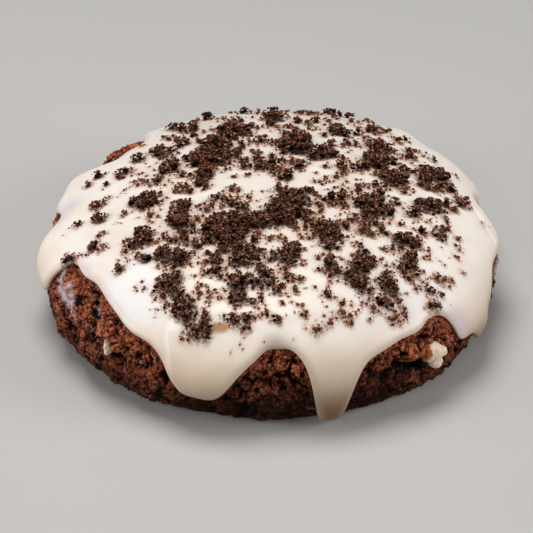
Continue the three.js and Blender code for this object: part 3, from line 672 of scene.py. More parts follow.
def walnut_finish():
    nut = Finish("walnut", Subsurface_Weight=0.15, Subsurface_Scale=0.8 * MM,
                 Subsurface_Radius=(1.0, 0.6, 0.35))
    grain = nut.grain(0.7, 4)
    skin = nut.mask("skin")
    kernel = nut.mixed(nut.stepped(grain, 0.4, 0.7), srgb(224, 202, 176), srgb(238, 222, 202))
    colour = nut.layered(kernel, (skin * 0.95, (176, 82, 12)),
                         (skin * nut.stepped(grain, 0.5, 0.62), (112, 48, 14)))
    nut.give(Base_Color=colour, Roughness=0.5 - 0.1 * grain, Normal=nut.bumped(grain, 0.15, 0.5))
    return nut.material


ICING_FINISH, COOKIE_FINISH = icing_finish(), cookie_finish()
WAFER_FINISH, WALNUT_FINISH = wafer_finish(), walnut_finish()

# ---- Cookie --------------------------------------------------------------------------------------

COOKIE_COLUMNS = 960
HIDDEN_ROWS = [10.0, 20.0, 28.0, 33.0, 35.0]     # distance from the top, under the icing
SIDE_ROWS = np.r_[np.arange(36.5, 45, 0.5), np.arange(45, SECTION_LENGTH, 0.29), SECTION_LENGTH]
FOOT_ROWS = [0.97, 0.85, 0.6, 0.3]               # share of the foot's radius
ROUGH_START = 0.8                                # the fine relief is full this far from the rim
FOOT_SHADE_STRENGTH = 0.85                                 # how dark the painted shade at the foot is
FOOT_SHADE = (14.5, 2.0)                         # it darkens from one height to the other
FRONT_SHADE = (275.0, 24.0, 42.0, 18.0, 5.0)     # and higher up here: angle, widths, heights

# The crust's lumps: how far they are warped, their size, the share of it that is crack, a shift of
# the pattern, and the depth of the cracks.
BIG_LUMPS = (1.5, 3.8, 0.34, 0.0, 0.9)
SMALL_LUMPS = (0.8, 1.7, 0.45, 5.0, 0.45)
GRIT_LUMPS = (0.4, 0.8, 0.6, 9.0, 0.28)
WARP_SIZE, WARP_SHIFTS = 2.1, (3.1, 17.7, 41.3)

# Noises that make the cracks deeper in some places than in others, and open holes, in layers of
# height, size and shift. The holes' first layer is warped too.
DEEP_BIG = [(1.0, 3.1, 61), (0.5, 1.4, 7)]
DEEP_SMALL = [(1.0, 1.9, 23)]
HOLE_SIZE, HOLE_WARP, HOLE_SHIFT, HOLE_DEPTH = 1.45, 0.4, 71, 0.9
HOLE_GRIT = [(0.5, 0.7, 13)]

# Raised ridges of crust, left of the right walnut, with a painted highlight on that one, and in the
# back bay, and the hollow under the first of them, with painted shade in it. Films of thin icing on
# the crust. Each is a half width and points along its middle.
RIDGE_HEIGHT = 1.3
RIDGES = [(1.5, [(302.0, 49.2), (305.0, 50.8), (308.5, 52.0)]), (2.2, [(138.5, 43.6), (145.0, 43.2)])]
HOLLOW_DEPTH = 1.8
HOLLOW = (1.1, [(300.5, 52.0), (304.5, 54.0), (309.0, 55.8)])
FILMS = [
    (0.9, [(201.0, 45.5), (203.0, 47.6), (207.5, 48.2), (211.5, 49.4), (213.5, 50.6)]),
    (0.6, [(207.0, 46.2), (210.5, 47.6), (212.0, 49.0)]),
    (0.5, [(219.5, 46.0), (220.5, 46.9)]),
    (0.7, [(354.0, 51.0), (347.0, 51.6), (343.5, 52.9)]),
    (0.35, [(278.5, 58.8), (280.5, 59.6)]),
]


def crusted(place, warp, kind):
    """Flat-topped lumps of crust with cracks between: 1 on the lumps and 0 down in a crack."""
    warped, size, crack, shift, _ = kind
    return 1 - (1 - np.clip(lumps(place + warped * warp, size, shift) / crack, 0, 1)) ** 2


def cookie_relief(angle, along):
    """Lift of the cookie's surface, and how open it lies there: 0 in a crevice and 1 on a lump. The
    crust's colour darkens with it as painted shade.
    """
    place = on_dome(angle, along)
    outside = np.maximum(0, -inside_rim(angle, along))
    bare = smooth(outside, 0, CRAG_START)
    rough = smooth(outside, 0.1, ROUGH_START)
    above_foot = smooth(SECTION_LENGTH - along, 0, CRAG_END)

    # The coarse crags and the pits are the solids' own.
    coarse = CRAG_SHARES[0] * grid_noise(place / CRAG_SIZE) + CRAG_SHARES[1] * grid_noise(
        CRAG_FINER * place / CRAG_SIZE + (9, 0, 0))
    pits = sum(pit[3] * spot_share(angle, along, pit) for pit in PITS)
    hollow = HOLLOW_DEPTH * line_share(angle, along, HOLLOW)
    ridges = sum(RIDGE_HEIGHT * line_share(angle, along, ridge) for ridge in RIDGES)

    warp = np.stack([grid_noise(place / WARP_SIZE + shift) for shift in WARP_SHIFTS], -1)
    big, small, grit = (crusted(place, warp, kind) for kind in (BIG_LUMPS, SMALL_LUMPS, GRIT_LUMPS))
    big = 1 - (1 - big) * (0.3 + 0.7 * smooth(noises(place, DEEP_BIG), -0.5, 0.35))
    small = 1 - (1 - small) * (0.55 + 0.45 * smooth(noises(place, DEEP_SMALL), -0.4, 0.3))
    holes = grid_noise(place / HOLE_SIZE + HOLE_WARP * warp + HOLE_SHIFT) + noises(place, HOLE_GRIT)
    holes = smooth(holes, 0.3, 0.75)
    crags = (BIG_LUMPS[-1] * (big - 0.75) - HOLE_DEPTH * holes + SMALL_LUMPS[-1] * (small - 0.7)
             + GRIT_LUMPS[-1] * (grit - 0.6))

    lift = bare * (CRAG_DEPTH * coarse - pits - hollow + ridges) + rough * crags
    # How open it lies, for the painted shade: less in cracks, pits and the hollow,
    open_air = np.clip(0.45 * big + 0.4 * small + 0.3 * grit - 0.05 + 0.1 * coarse
                       - 0.3 * pits - 0.35 * hollow, 0, 1) * smooth(big, 0.0, 0.6)
    # and less in holes and near the icing's rim, as painted shadow under its overhang.
    open_air = open_air * (1 - 0.8 * holes) * (0.7 + 0.3 * smooth(outside, 0.2, 1.8))
    return above_foot * np.minimum(lift, 0.2 + 0.5 * outside), blend(0.7, open_air, rough)


def crust_tints(angle, along, height):
    """How the crust is tinted: pale under films of icing, with a painted highlight on the first ridge,
    and painted shade low on the side, higher up at the front.
    """
    middle, inner, outer, start, end = FRONT_SHADE
    front = smooth(np.abs(turned(angle, middle)), outer, inner)
    foot = np.maximum(FOOT_SHADE_STRENGTH * smooth(height, *FOOT_SHADE), front * smooth(height, start, end))
    return {"film": np.clip(sum(line_share(angle, along, line) for line in FILMS), 0, 1),
            "ridge_highlight": line_share(angle, along, RIDGES[0]), "foot": foot}


def build_cookie():
    rows = np.r_[0, HIDDEN_ROWS, SIDE_ROWS]
    shape, column, row = wrapped_sheet(COOKIE_COLUMNS, len(rows) + len(FOOT_ROWS))
    angle = (column % COOKIE_COLUMNS) * 360 / COOKIE_COLUMNS
    place = np.zeros((len(row), 3))
    masks = {"depth": 0.6, "film": 0.0, "ridge_highlight": 0.0, "foot": 1.0}
    masks = {mask: np.full(len(row), under_foot) for mask, under_foot in masks.items()}

    side = row < len(rows)
    side_angle, along = angle[side], rows[row[side]]
    lift, masks["depth"][side] = cookie_relief(side_angle, along)
    place[side] = on_dome(side_angle, along, lift)
    for mask, values in crust_tints(side_angle, along, place[side][:, 2]).items():
        masks[mask][side] = values

    share = np.r_[FOOT_ROWS, 0][row[~side] - len(rows)]
    place[~side] = on_dome(angle[~side], SECTION_LENGTH) * share[:, None] * (1, 1, 0)
    cookie = closed("craggy_cookie", shape, place, COOKIE_FINISH, masks)
    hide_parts("cookie")


# Crumbs of crust: name, shape, the most there are, smallest and largest half width.
SIDE_CRUMBS = [
    ("side_crumbs", "lump", 1400, 0.2, 0.42),
    ("side_grains", "grain", 9000, 0.12, 0.28),
]
SIDE_CRUMBS_START = 40.0                         # distance from the top where they begin
SIDE_CRUMBS_END = SECTION_LENGTH - 1.2           # and where they end
SIDE_CRUMB_TRIES = 9                             # tries for each, as most fall on the icing
SIDE_CRUMB_CUTS = 4                              # flats cut off each
SIDE_CRUMB_SUNK = 0.65                           # share of the half width that is sunk in


def build_cookie_crumbs():
    """Crumbs that stand out of the bare side, from lumps down to grains."""
    random = np.random.default_rng(7)
    for name, kind, count, small, large in SIDE_CRUMBS:
        tried = SIDE_CRUMB_TRIES * count
        angle = random.uniform(0, 360, tried)
        along = random.uniform(SIDE_CRUMBS_START, SIDE_CRUMBS_END, tried)
        half = small * (large / small) ** (random.uniform(0, 1, tried) ** 1.8)
        clear = -inside_rim(angle, along) > 0.3 + half
        angle, along, half = (values[clear][:count] for values in (angle, along, half))
        lift, open_air = cookie_relief(angle, along)
        keep = (open_air > 0.25) & (half < 0.35 * (SECTION_LENGTH - along))
        angle, along, half, lift, open_air = (
            values[keep] for values in (angle, along, half, lift, open_air))
        middles = on_dome(angle, along, lift - SIDE_CRUMB_SUNK * half)
        # the crumbs' painted crevice shade, a little lighter than the crust round them
        masks = {"depth": np.clip(open_air + 0.2, 0, 1), **crust_tints(angle, along, middles[:, 2])}
        scattered(name, random, kind, middles, half, COOKIE_FINISH, SIDE_CRUMB_CUTS, masks,
                  outward(angle, along))


# ---- Icing ---------------------------------------------------------------------------------------

ICING_COLUMNS = 760
ROUND_ROWS = 68            # over the top, out to ROUND_END from the apex
ROUND_END = 34.0
FLOW_ROWS = 36             # from there to the bead along the rim
BEAD_ROWS = 9
UNDER_ROWS = 5
RIM_INSET = 0.55           # the bead's foot lies this far inside the rim's line
RIM_BULGE = 0.22           # the bead hangs out this far over its foot
RIM_WIDEST = 0.4           # at this share of its thickness
RIM_FOOT = [(-0.7 * RIM_BULGE, 0.2), (0.05, 0.0)]   # below that: distance in, share of thickness
FOOT_LIFT = CLEARANCE / 2  # height of the bead's foot over the cookie
UNDER_LIFT = 0.1           # and of the underside
ROUND_TURN = 0.55          # the columns over the top turn to the rim's own by this share
BACK_BAY = (142.0, 20.0, 7.0)   # the rows over the top draw in before this bay: angle, width, by
FLOW_LEADS = (4.5, 0.7)    # how far the rows run straight on, from ROUND_END and from the bead
EVENING = (12, 20)         # rounds of evening out: of the directions into the icing, of a row
LIP_GAIN = 0.6             # how much wider the rounded rim is at a bead

# A step in the icing, where one pour lies over another: its height, the width of the step and of
# its back, where it begins and ends along, and its course from there.
FOLD = (0.6, 0.55, 3.5, 42.0, 56.5, [(242.5, 42.0), (243.4, 44.5), (245.6, 48.0), (248.2, 55.0)])
FOLD_FADE = 3.0            # it fades in and out over this distance along
GROOVE = (0.7, [(2.0, 42.5), (357.0, 44.6), (353.5, 47.4)])
GROOVE_DEPTH = 0.6

# Where the icing is tinted: thin spots, spots of painted sheen, a rim's painted shade, a caramel streak.
THIN = [
    (176.5, 42.0, 4.0), (180.5, 44.5, 3.0), (320.0, 49.0, 3.4), (321.5, 52.0, 2.6),
    (356.0, 44.5, 2.6), (210.0, 42.0, 2.2), (228.0, 45.5, 2.6), (304.0, 43.0, 4.0),
    (149.0, 38.5, 3.0), (40.0, 45.0, 3.0),
]
THIN_DEPTH = 0.35
WHITE_SHEEN = [
    (228.5, 41.0, 7.0), (222.0, 36.0, 6.0), (236.0, 42.0, 5.0), (308.0, 38.0, 8.0),
    (318.0, 42.0, 5.0), (298.0, 40.0, 5.0), (205.0, 40.0, 3.0),
]
RIM_SHADE_SPOT = (271.0, 45.2, 3.5)
CARAMEL = (1.7, [(255.6, 42.2), (257.4, 42.0)])

# Distances along over which the icing turns ivory, partly as painted shade, sooner at the front,
# and then darker on the drips as painted shade.
IVORY_FROM, IVORY_FROM_FRONT, DRIP_SHADE_FROM = (45, 54), (42, 52), (49.5, 58.3)
FRONT_ICING = (270, 48, 30)    # the front: its angle, and the turns from it where it ends and is full
EDGE_SHADE = (2.4, 0.3)         # painted shade: the rim darkens from this far inside it to this far


def any_of(angle, along, spots):
    """How near a point is to the middle of any of the spots."""
    return np.clip(sum(spot_share(angle, along, spot) for spot in spots), 0, 1)


def lip_width(angle, along):
    return ICING_LIP + LIP_GAIN * any_of(angle, along, BEADS)


def fold_height(angle, along, height, step, back, start, end, course):
    """A step up across a course that runs down the side, with a long slope behind it."""
    angles, lengths = zip(*course)
    across = radius_at(along) * np.radians(turned(angle, np.interp(along, lengths, angles)))
    rise = smooth(across, -step, step) * np.exp(-np.maximum(0, across) / back)
    fade_in, fade_out = smooth(along, start, start + FOLD_FADE), smooth(along, end, end - FOLD_FADE)
    return height * rise * fade_in * fade_out


def icing_thickness(angle, along):
    """Thickness of the icing away from its rounded rim."""
    place = on_dome(angle, along)
    swell = ICING_SWELL * grid_noise(place.reshape(-1, 3) / SWELL_SIZE).reshape(np.shape(angle))
    beads = sum(spot_share(angle, along, bead) for bead in BEADS)
    groove = GROOVE_DEPTH * line_share(angle, along, GROOVE)
    return (ICING_THICK + BEAD_THICK * beads + swell + fold_height(angle, along, *FOLD) - groove
            - THIN_DEPTH * any_of(angle, along, THIN))


def icing_height(angle, along):
    """Height of the icing's face over the cookie at any place on it."""
    inside = inside_rim(angle, along) - RIM_INSET
    share = np.clip(inside / lip_width(angle, along), 0, 1)
    return CLEARANCE + icing_thickness(angle, along) * np.sqrt(1 - (1 - share) ** 2)


def evened(values, rounds):
    """Values round the rim, each drawn towards its two neighbours."""
    for _ in range(rounds):
        values = 0.5 * values + 0.25 * (np.roll(values, 1, -1) + np.roll(values, -1, -1))
    return values


def icing_courses():
    """Rows of (angle, along) from the apex to where the bead along the rim begins, and the bead."""
    rim = rim_columns(ICING_COLUMNS)
    reach = rim_reach(rim)
    even = rim[0] + np.arange(ICING_COLUMNS) * 360 / ICING_COLUMNS

    # Direction into the icing, square to the rim, as millimetres across and along.
    ahead, behind = rim + 0.05, rim - 0.05
    across = radius_at(reach) * np.radians(ahead - behind)
    down = rim_reach(ahead) - rim_reach(behind)
    length = np.hypot(across, down)
    inward = evened(np.stack([down, -across]) / length, EVENING[0])
    inward /= np.hypot(*inward)

    def from_rim(distance):
        step = inward * (distance + RIM_INSET)
        return rim + np.degrees(step[0] / radius_at(reach)), reach + step[1]

    lip = lip_width(rim, reach)
    anchor = blend(even, rim, ROUND_TURN)
    middle, width, by = BACK_BAY
    round_end = ROUND_END - by * np.exp(-(turned(anchor, middle) / width) ** 2)
    rows = [(blend(even, anchor, smooth(share, 0.2, 1)), share * round_end)
            for share in np.linspace(0, 1, ROUND_ROWS + 1)]
    leave, arrive = FLOW_LEADS
    courses = (anchor, round_end), (anchor, round_end + leave), from_rim(lip + arrive), from_rim(lip)
    for t in np.linspace(0, 1, FLOW_ROWS + 1)[1:]:
        weights = (1 - t) ** 3, 3 * t * (1 - t) ** 2, 3 * t * t * (1 - t), t ** 3
        angle, along = (sum(w * p[i] for w, p in zip(weights, courses)) for i in (0, 1))
        rounds = round(EVENING[1] * (1 - t))
        rows.append((even + evened(angle - even, rounds), evened(along, rounds)))
    return rows, from_rim, lip


def build_icing(left_on_icing):
    rows, from_rim, lip = icing_courses()
    placed = [(angle, along, icing_height(angle, along)) for angle, along in rows]
    edge_angle, edge_along = rows[-1]
    full = icing_thickness(edge_angle, edge_along)
    for bend in np.linspace(0, np.pi / 2, BEAD_ROWS + 1)[1:]:
        angle, along = from_rim((lip + RIM_BULGE) * (1 - math.sin(bend)) - RIM_BULGE)
        placed.append((angle, along, CLEARANCE + full * blend(RIM_WIDEST, 1, math.cos(bend))))
    for distance, share in RIM_FOOT:
        angle, along = from_rim(distance)
        placed.append((angle, along, FOOT_LIFT + full * share))
    for i in np.linspace(len(rows) - 2, 0, UNDER_ROWS).astype(int):
        placed.append((*rows[i], np.full(ICING_COLUMNS, UNDER_LIFT)))
    shape, column, row = wrapped_sheet(ICING_COLUMNS, len(placed) - 1)
    angle, along, lift = (np.stack(values)[row, column % ICING_COLUMNS] for values in zip(*placed))
    place = on_dome(angle, along, lift)
    middle, front_end, front_full = FRONT_ICING
    front = smooth(np.abs(turned(angle, middle)), front_end, front_full)
    ivory = np.maximum(smooth(along, *IVORY_FROM), front * smooth(along, *IVORY_FROM_FRONT))
    # painted shade low on the drips and on the rim over the front bay
    tan_shade = smooth(along, *DRIP_SHADE_FROM) + 0.7 * spot_share(angle, along, RIM_SHADE_SPOT)
    masks = {
        # ivory: thick icing, and partly painted shade down the side, sooner at the front
        "ivory": 0.8 * ivory + 0.2 * any_of(angle, along, BEADS),
        "tan_shade": np.clip(tan_shade, 0, 1),
        "thin": any_of(angle, along, THIN),
        "caramel": line_share(angle, along, CARAMEL),
        # white: spots of painted sheen
        "white": any_of(angle, along, WHITE_SHEEN),
        "edge": smooth(inside_rim(angle, along), *EDGE_SHADE),
        **left_on_icing(place),
    }
    icing = closed("poured_icing", shape, place, ICING_FINISH, masks)
    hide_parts("icing")


# ---- Crushed wafer -------------------------------------------------------------------------------

FIELD = 50.0               # the heap map reaches this far from the middle
CELL = 0.25                # side of one of its cells
WAFER_FIELD = 45.5         # crumbs lie inside this radius in plan
WAFER_EDGE = 0.5           # and no nearer to the rim than this
TOP_FROM = (14, 19)        # heights between which the side turns into the top
WAFER_LIFT = CLEARANCE + ICING_THICK
REST = (0.55, 0.22)        # a crumb rests on these shares of the mean and the highest heap under it
MIDDLE_UP, TOP_UP = 0.45, 1.05   # its middle and top over that, as shares of its half width
STAIN_REACH = 0.2          # it stains the icing this far out from its edge
STAIN_LEAST = 0.14         # half width past which it does
STAIN_GAIN, STAIN_MOST = 8, 0.8
SUNK_SHADE = (0.25, 1.1)         # painted shade: a crumb darkens as the heap rises this far over its middle
HEAPED = (0.7, 1.6)        # and its under side turns from an orange edge to painted shade as the heap rises this far over the icing
COVER_MOST, COVER = 1.6, (0.9, 1.4)   # a heap counts up to this, and its dark dust, partly painted shade between crumbs, shows as it rises
NEAR_SHADE_MOST = 0.5            # the same for the painted shade near the crumbs
NEAR_SHADE_ROUNDS = 24           # rounds of spreading of the painted shade near the crumbs
PATCH_MERGE = 0.4          # neighbouring patches run together over about this distance
MOST_TRIANGLES = 198_000   # in one piece
KIND_TRIANGLES = {"dust": 8, "grain": 20, "lump": 80, "chunk": 320}
ALL_PATCHES = DRIFTS + [(*clump, 2) for clump in CLUMPS]
FINE_PATCHES = ALL_PATCHES + FINE_DRIFTS

# Noises that break up the patches: their ragged edges, gaps in them, and groups of strays between.
RAGGED = [(1.0, 2.2, 0), (0.9, 1.1, 31), (0.5, 0.6, 0)]
GAPS = [(1.0, 1.1, 83)]
GROUPS = [(1.0, 1.3, 57), (0.7, 0.7, 73)]

# Sizes of crumb, from the largest down: name, shape, smallest and largest half width, flats cut off
# each, how orange they are, and how they are scattered.
WAFER_SIZES = [
    ("wafer_chunks", "chunk", 0.6, 1.1, 5, 0.0, (ALL_PATCHES, 0.34, -0.2, -0.9, 0.03)),
    ("wafer_lumps", "lump", 0.45, 0.78, 5, 0.0, (ALL_PATCHES, 0.95, 0.2, -0.4, 0.15)),
    ("wafer_pieces", "grain", 0.32, 0.52, 4, 0.1, (ALL_PATCHES, 1.9, 0.7, -0.4, 0.22)),
    ("wafer_bits", "grain", 0.2, 0.32, 4, 0.3, (FINE_PATCHES, 1.5, 0.9, -0.4, 0.24)),
    ("wafer_grains", "grain", 0.14, 0.2, 4, 0.6, (FINE_PATCHES, 0.5, 1.2, -0.4, 0.18)),
    ("wafer_dust", "dust", 0.08, 0.12, 0, 0.8, (FINE_PATCHES, 0.3, 1.3, -0.6, 0.12)),
]


def wafer_scatter(random, patches, per_mm2, start, end, stray):
    """Places in plan for one size of crumb: thick in the patches, from none at the first distance
    past their edge to all at the second, with strays in little groups over the loose fields. The
    smaller a patch is, the less ragged is its edge."""
    count = int(per_mm2 * 4 * WAFER_FIELD ** 2)
    place = random.uniform(-WAFER_FIELD, WAFER_FIELD, (count, 2))
    space = np.c_[place, np.zeros(count)]
    x, y, radius, thick = np.array(patches, float).T
    each_past = np.hypot(place[:, :1] - x, place[:, 1:] - y) - radius
    nearest = each_past.argmin(1)
    past = -PATCH_MERGE * np.log(np.exp(-each_past / PATCH_MERGE).sum(1))
    past = past + noises(space, RAGGED) * np.minimum(1, 0.2 + 0.35 * radius[nearest])
    gaps = smooth(noises(space, GAPS), -0.55, 0.15)
    groups = smooth(noises(space, GROUPS), -0.15, 0.35)
    x, y, radius, many = np.array(LOOSE_FIELDS, float).T
    inside = radius - np.hypot(place[:, :1] - x, place[:, 1:] - y)
    strays = stray * groups * (many * smooth(inside, -2.5, 2.5)).max(1)
    share = np.maximum(gaps ** (3 - thick[nearest]) * smooth(past, start, end), strays)
    return place[random.uniform(0, 1, count) < share]


def wafer_places(random):
    """Places in plan of every size of crumb, by its name."""
    lone = np.array(LONE_LUMPS, float)
    hearts = np.array([(x, y) for x, y, radius, thick in DRIFTS if thick > 1 and radius > 1.2])
    beside_lone = lone + random.normal(0, 0.5, lone.shape)
    round_lone = np.repeat(lone, 4, 0) + random.normal(0, 0.8, (4 * len(lone), 2))
    in_hearts = hearts + random.normal(0, 1.0, hearts.shape)
    places = {name: wafer_scatter(random, *scatter) for name, *_, scatter in WAFER_SIZES}
    places["wafer_chunks"] = np.r_[lone, in_hearts, places["wafer_chunks"]]
    places["wafer_lumps"] = np.r_[beside_lone, places["wafer_lumps"]]
    places["wafer_bits"] = np.r_[round_lone, places["wafer_bits"]]
    places["wafer_dust"] = np.r_[places["wafer_dust"], random.uniform(-32, 32, (60, 2))]
    return places


def map_cells(places):
    return tuple(((places + FIELD) / CELL).astype(int).T)


def heaped(places, halves, heap, dirt):
    """Height over the icing of each crumb's middle, laid down one after another on the heap. Each
    also stains the icing a little way round it."""
    heights = np.empty(len(places))
    for n, (i, j, half) in enumerate(zip(*map_cells(places), halves)):
        reach = max(1, int(half / CELL))
        patch = heap[i - reach:i + reach + 1, j - reach:j + reach + 1]
        ground = REST[0] * patch.mean() + REST[1] * patch.max()
        heights[n] = ground + MIDDLE_UP * half
        np.maximum(patch, ground + TOP_UP * half, out=patch)
        wide = int((half + STAIN_REACH) / CELL)
        stain = min(STAIN_MOST, STAIN_GAIN * max(0, half - STAIN_LEAST))
        dirt[i - wide:i + wide + 1, j - wide:j + wide + 1] += stain
    return heights


def spread(cells, rounds):
    """The map's values, shared out among neighbouring cells."""
    for _ in range(rounds):
        cells = sum(np.roll(cells, step, axis) for axis in (0, 1) for step in (-1, 0, 0, 1)) / 8
    return cells


def build_wafer():
    """All sizes of crumb. It gives back what they leave on the icing and the shade painted near them,
    as masks of its places.
    """
    random = np.random.default_rng(23)
    heap = np.zeros((int(2 * FIELD / CELL),) * 2)
    dirt = np.zeros_like(heap)
    every_place = wafer_places(random)
    laid = []
    for name, kind, small, large, *_ in WAFER_SIZES:
        places = every_place[name]
        angle, along = seen_from_above(*places.T, WAFER_LIFT)
        half = small + (large - small) * random.uniform(0, 1, len(places)) ** 2
        keep = (np.hypot(*places.T) < WAFER_FIELD) & (inside_rim(angle, along) > WAFER_EDGE + 0.6 * half)
        if name == "wafer_chunks":
            keep[:len(LONE_LUMPS)] = True
        keep = np.flatnonzero(keep)[:MOST_TRIANGLES // KIND_TRIANGLES[kind]]
        places, half, angle, along = places[keep], half[keep], angle[keep], along[keep]
        laid.append((map_cells(places), angle, along, half, heaped(places, half, heap, dirt)))
    tops = np.max([np.roll(heap, (i, j), (0, 1)) for i in (-1, 0, 1) for j in (-1, 0, 1)], 0)
    for (name, kind, _, _, cuts, fine, _), (cells, angle, along, half, over) in zip(WAFER_SIZES, laid):
        middles = on_dome(angle, along, icing_height(angle, along) + over)
        masks = {"fine": np.full(len(half), fine), "sunk_shade": smooth(tops[cells] - over, *SUNK_SHADE),
                 "heaped": smooth(tops[cells], *HEAPED)}
        scattered(name, random, kind, middles, half, WAFER_FINISH, cuts, masks,
                  outward(angle, along))

    dirt, cover = spread(dirt, 1), spread(np.minimum(heap, COVER_MOST), 1)
    near = spread(np.minimum(heap, NEAR_SHADE_MOST), NEAR_SHADE_ROUNDS)

    def left_on_icing(place):
        """Masks of the icing: fat stains round the crumbs, painted shade near them, and dark dust under
        the heaps, partly painted shade between the crumbs."""
        cells = tuple(np.clip(axis, 0, len(heap) - 1) for axis in map_cells(place[:, :2]))
        on_top = smooth(place[:, 2], *TOP_FROM)
        return {"stain": np.clip(dirt[cells], 0, 1) * on_top,
                "near": np.clip(2 * near[cells], 0, 1) * on_top,
                "dust": smooth(cover[cells], *COVER) * on_top}

    return left_on_icing


# ---- Walnuts -------------------------------------------------------------------------------------

# Lobes: middle and half sizes, each as across, up the side and out of it.
RIGHT_LOBES = [
    ((0.0, 0.7, -0.2), (1.9, 2.1, 2.0)), ((1.6, 0.4, 0.2), (1.3, 1.1, 1.4)),
    ((0.2, -1.5, 0.3), (1.5, 1.4, 1.4)), ((-1.6, 1.0, -0.3), (1.0, 2.1, 1.6)),
]
LEFT_LOBES = [
    ((0.3, -0.7, -0.1), (0.6, 0.9, 1.0)), ((0.0, 0.2, -0.2), (0.45, 0.9, 1.0)),
    ((-0.3, 1.05, -0.3), (0.24, 0.8, 0.9)),
]
WALNUTS = [  # name, node, angle, along, lift, lobes, where the brown skin begins across
    ("walnut_right", "nut_right", 312.0, 53.6, 0.35, RIGHT_LOBES, -2.45),
    ("walnut_left", "nut_left", 227.5, 51.9, 0.1, LEFT_LOBES, -9.0),
]
LOBE_STEPS = 4             # how finely a lobe is divided
JOIN_SIZE = 0.16           # side of the cubes in which the lobes are joined
JOIN_ROUNDS = 6            # rounds in which the joined lump is softened
RIPPLES = [(0.1, 1.1, 5), (0.03, 0.4, 0)]
CREASE_SIZE, CREASE_SHIFT, CREASE_DEPTH, CREASE_WIDTH = 1.6, 2.0, 0.12, 0.16
SKIN_SLANT = 0.35          # how far the skin's edge leans as it runs up the side
SKIN_RAGGED = [(0.3, 0.7, 0)]
SKIN_EDGE = (0.6, -0.3)    # it fades in from the one to the other, past where it begins


def build_walnut(name, node, angle, along, lift, lobes, skin_from):
    shape = bmesh.new()
    for middle, half in lobes:
        made = bmesh.ops.create_icosphere(shape, subdivisions=LOBE_STEPS, radius=1)["verts"]
        bmesh.ops.scale(shape, vec=half, verts=made)
        bmesh.ops.translate(shape, vec=middle, verts=made)
    lump = bpy.data.meshes.new(name)
    shape.to_mesh(lump)
    shape.free()
    carrier = bpy.data.objects.new("carrier", lump)
    bpy.context.scene.collection.objects.link(carrier)
    joining = carrier.modifiers.new("joining", "REMESH")
    joining.mode, joining.voxel_size = "VOXEL", JOIN_SIZE
    softened = carrier.modifiers.new("softened", "SMOOTH")
    softened.iterations = JOIN_ROUNDS
    seen = bpy.context.evaluated_depsgraph_get()
    joined = bpy.data.meshes.new_from_object(carrier.evaluated_get(seen))
    bpy.data.objects.remove(carrier)

    local = np.empty(len(joined.vertices) * 3)
    joined.vertices.foreach_get("co", local)
    local = local.reshape(-1, 3)
    facing = np.empty_like(local).ravel()
    joined.vertices.foreach_get("normal", facing)
    ripple = noises(local, RIPPLES)
    crease = smooth(lumps(local, CREASE_SIZE, CREASE_SHIFT), CREASE_WIDTH, 0.0)
    local += facing.reshape(-1, 3) * (ripple - CREASE_DEPTH * crease)[:, None]
    across = local[:, 0] - SKIN_SLANT * local[:, 1] + noises(local, SKIN_RAGGED)
    skin = smooth(across, *(skin_from + edge for edge in SKIN_EDGE))

    normal = outward(np.array(angle), np.array(along))
    a = math.radians(angle)
    sideways = np.array((-math.sin(a), math.cos(a), 0))
    axes = np.stack([sideways, np.cross(normal, sideways), normal])
    place = on_dome(angle, along, lift) + local @ axes
    joined.vertices.foreach_set("co", (place * MM).ravel())
    joined.materials.clear()
    joined.name = name
    walnut = dressed(name, joined, WALNUT_FINISH, {"skin": skin})
    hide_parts(node)


# ---- The whole cookie ----------------------------------------------------------------------------

build_cookie()
build_cookie_crumbs()
build_icing(build_wafer())
for walnut in WALNUTS:
    build_walnut(*walnut)

# ---- Floor, light and camera ---------------------------------------------------------------------

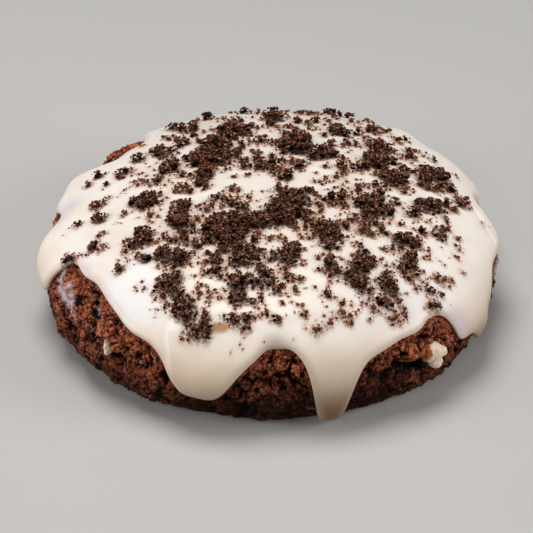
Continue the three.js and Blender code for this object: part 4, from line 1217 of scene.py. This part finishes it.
# All in metres.
FLOOR_HALF = 3
LAMP_SIZE = 0.3
LAMP_TARGET = (0, 0, 0.015)
LAMPS = [  # name, place, power in watts, colour
    ("key", (-0.07, 0.08, 0.5), 1.95, (1.0, 0.985, 0.97)),
    ("front", (-0.05, -0.45, 0.38), 0.48, (1.0, 0.98, 0.96)),
    ("left", (-0.5, -0.14, 0.15), 1.28, (1.0, 0.98, 0.96)),
    ("right", (0.5, -0.14, 0.26), 1.5, (1.0, 0.98, 0.96)),
]
SKY = (1.0, 0.96, 0.93, 1)
SKY_STRENGTH = 0.06
EYE_DISTANCE = 0.45        # from the middle of the foot
EYE_RISE = 34.5            # degrees over level
SENSOR, LENS = 36, 145.3   # millimetres
LENS_SHIFT = (-0.0098, 0.0535)   # of the picture's width, so that the cookie lies where it should


def build_stage():
    floor = bmesh.new()
    bmesh.ops.create_grid(floor, x_segments=1, y_segments=1, size=FLOOR_HALF)
    mesh = bpy.data.meshes.new("floor")
    floor.to_mesh(mesh)
    floor.free()
    table = bpy.data.objects.new("floor", mesh)
    bpy.context.scene.collection.objects.link(table)
    pale = Finish("pale_floor", Roughness=0.7)
    shade = pale.grain(60, 2)
    pale.give(Base_Color=pale.mixed(shade, srgb(186, 185, 183), srgb(191, 190, 188)))
    mesh.materials.append(pale.material)


def add_lamp(name, place, power, colour):
    lamp = bpy.data.lights.new(name, "AREA")
    lamp.shape, lamp.size, lamp.energy, lamp.color = "DISK", LAMP_SIZE, power, colour
    piece = bpy.data.objects.new(name, lamp)
    piece.location = place
    piece.rotation_euler = (Vector(LAMP_TARGET) - Vector(place)).to_track_quat("-Z", "Y").to_euler()
    bpy.context.scene.collection.objects.link(piece)


def build_light():
    for lamp in LAMPS:
        add_lamp(*lamp)
    world = bpy.data.worlds.new("studio")
    world.use_nodes = True
    backdrop = world.node_tree.nodes["Background"]
    backdrop.inputs["Color"].default_value = SKY
    backdrop.inputs["Strength"].default_value = SKY_STRENGTH
    bpy.context.scene.world = world


def build_camera():
    """The eye is straight in front of the cookie and looks down at the middle of its foot."""
    lens = bpy.data.cameras.new("camera")
    lens.sensor_width, lens.lens = SENSOR, LENS
    lens.shift_x, lens.shift_y = LENS_SHIFT
    lens.clip_start, lens.clip_end = 0.01, 10
    camera = bpy.data.objects.new("camera", lens)
    rise = math.radians(EYE_RISE)
    camera.location = (0, -EYE_DISTANCE * math.cos(rise), EYE_DISTANCE * math.sin(rise))
    camera.rotation_euler = (math.pi / 2 - rise, 0, 0)
    bpy.context.scene.collection.objects.link(camera)
    bpy.context.scene.camera = camera


build_stage()
build_light()
build_camera()
bpy.context.scene.view_settings.view_transform = "Standard"
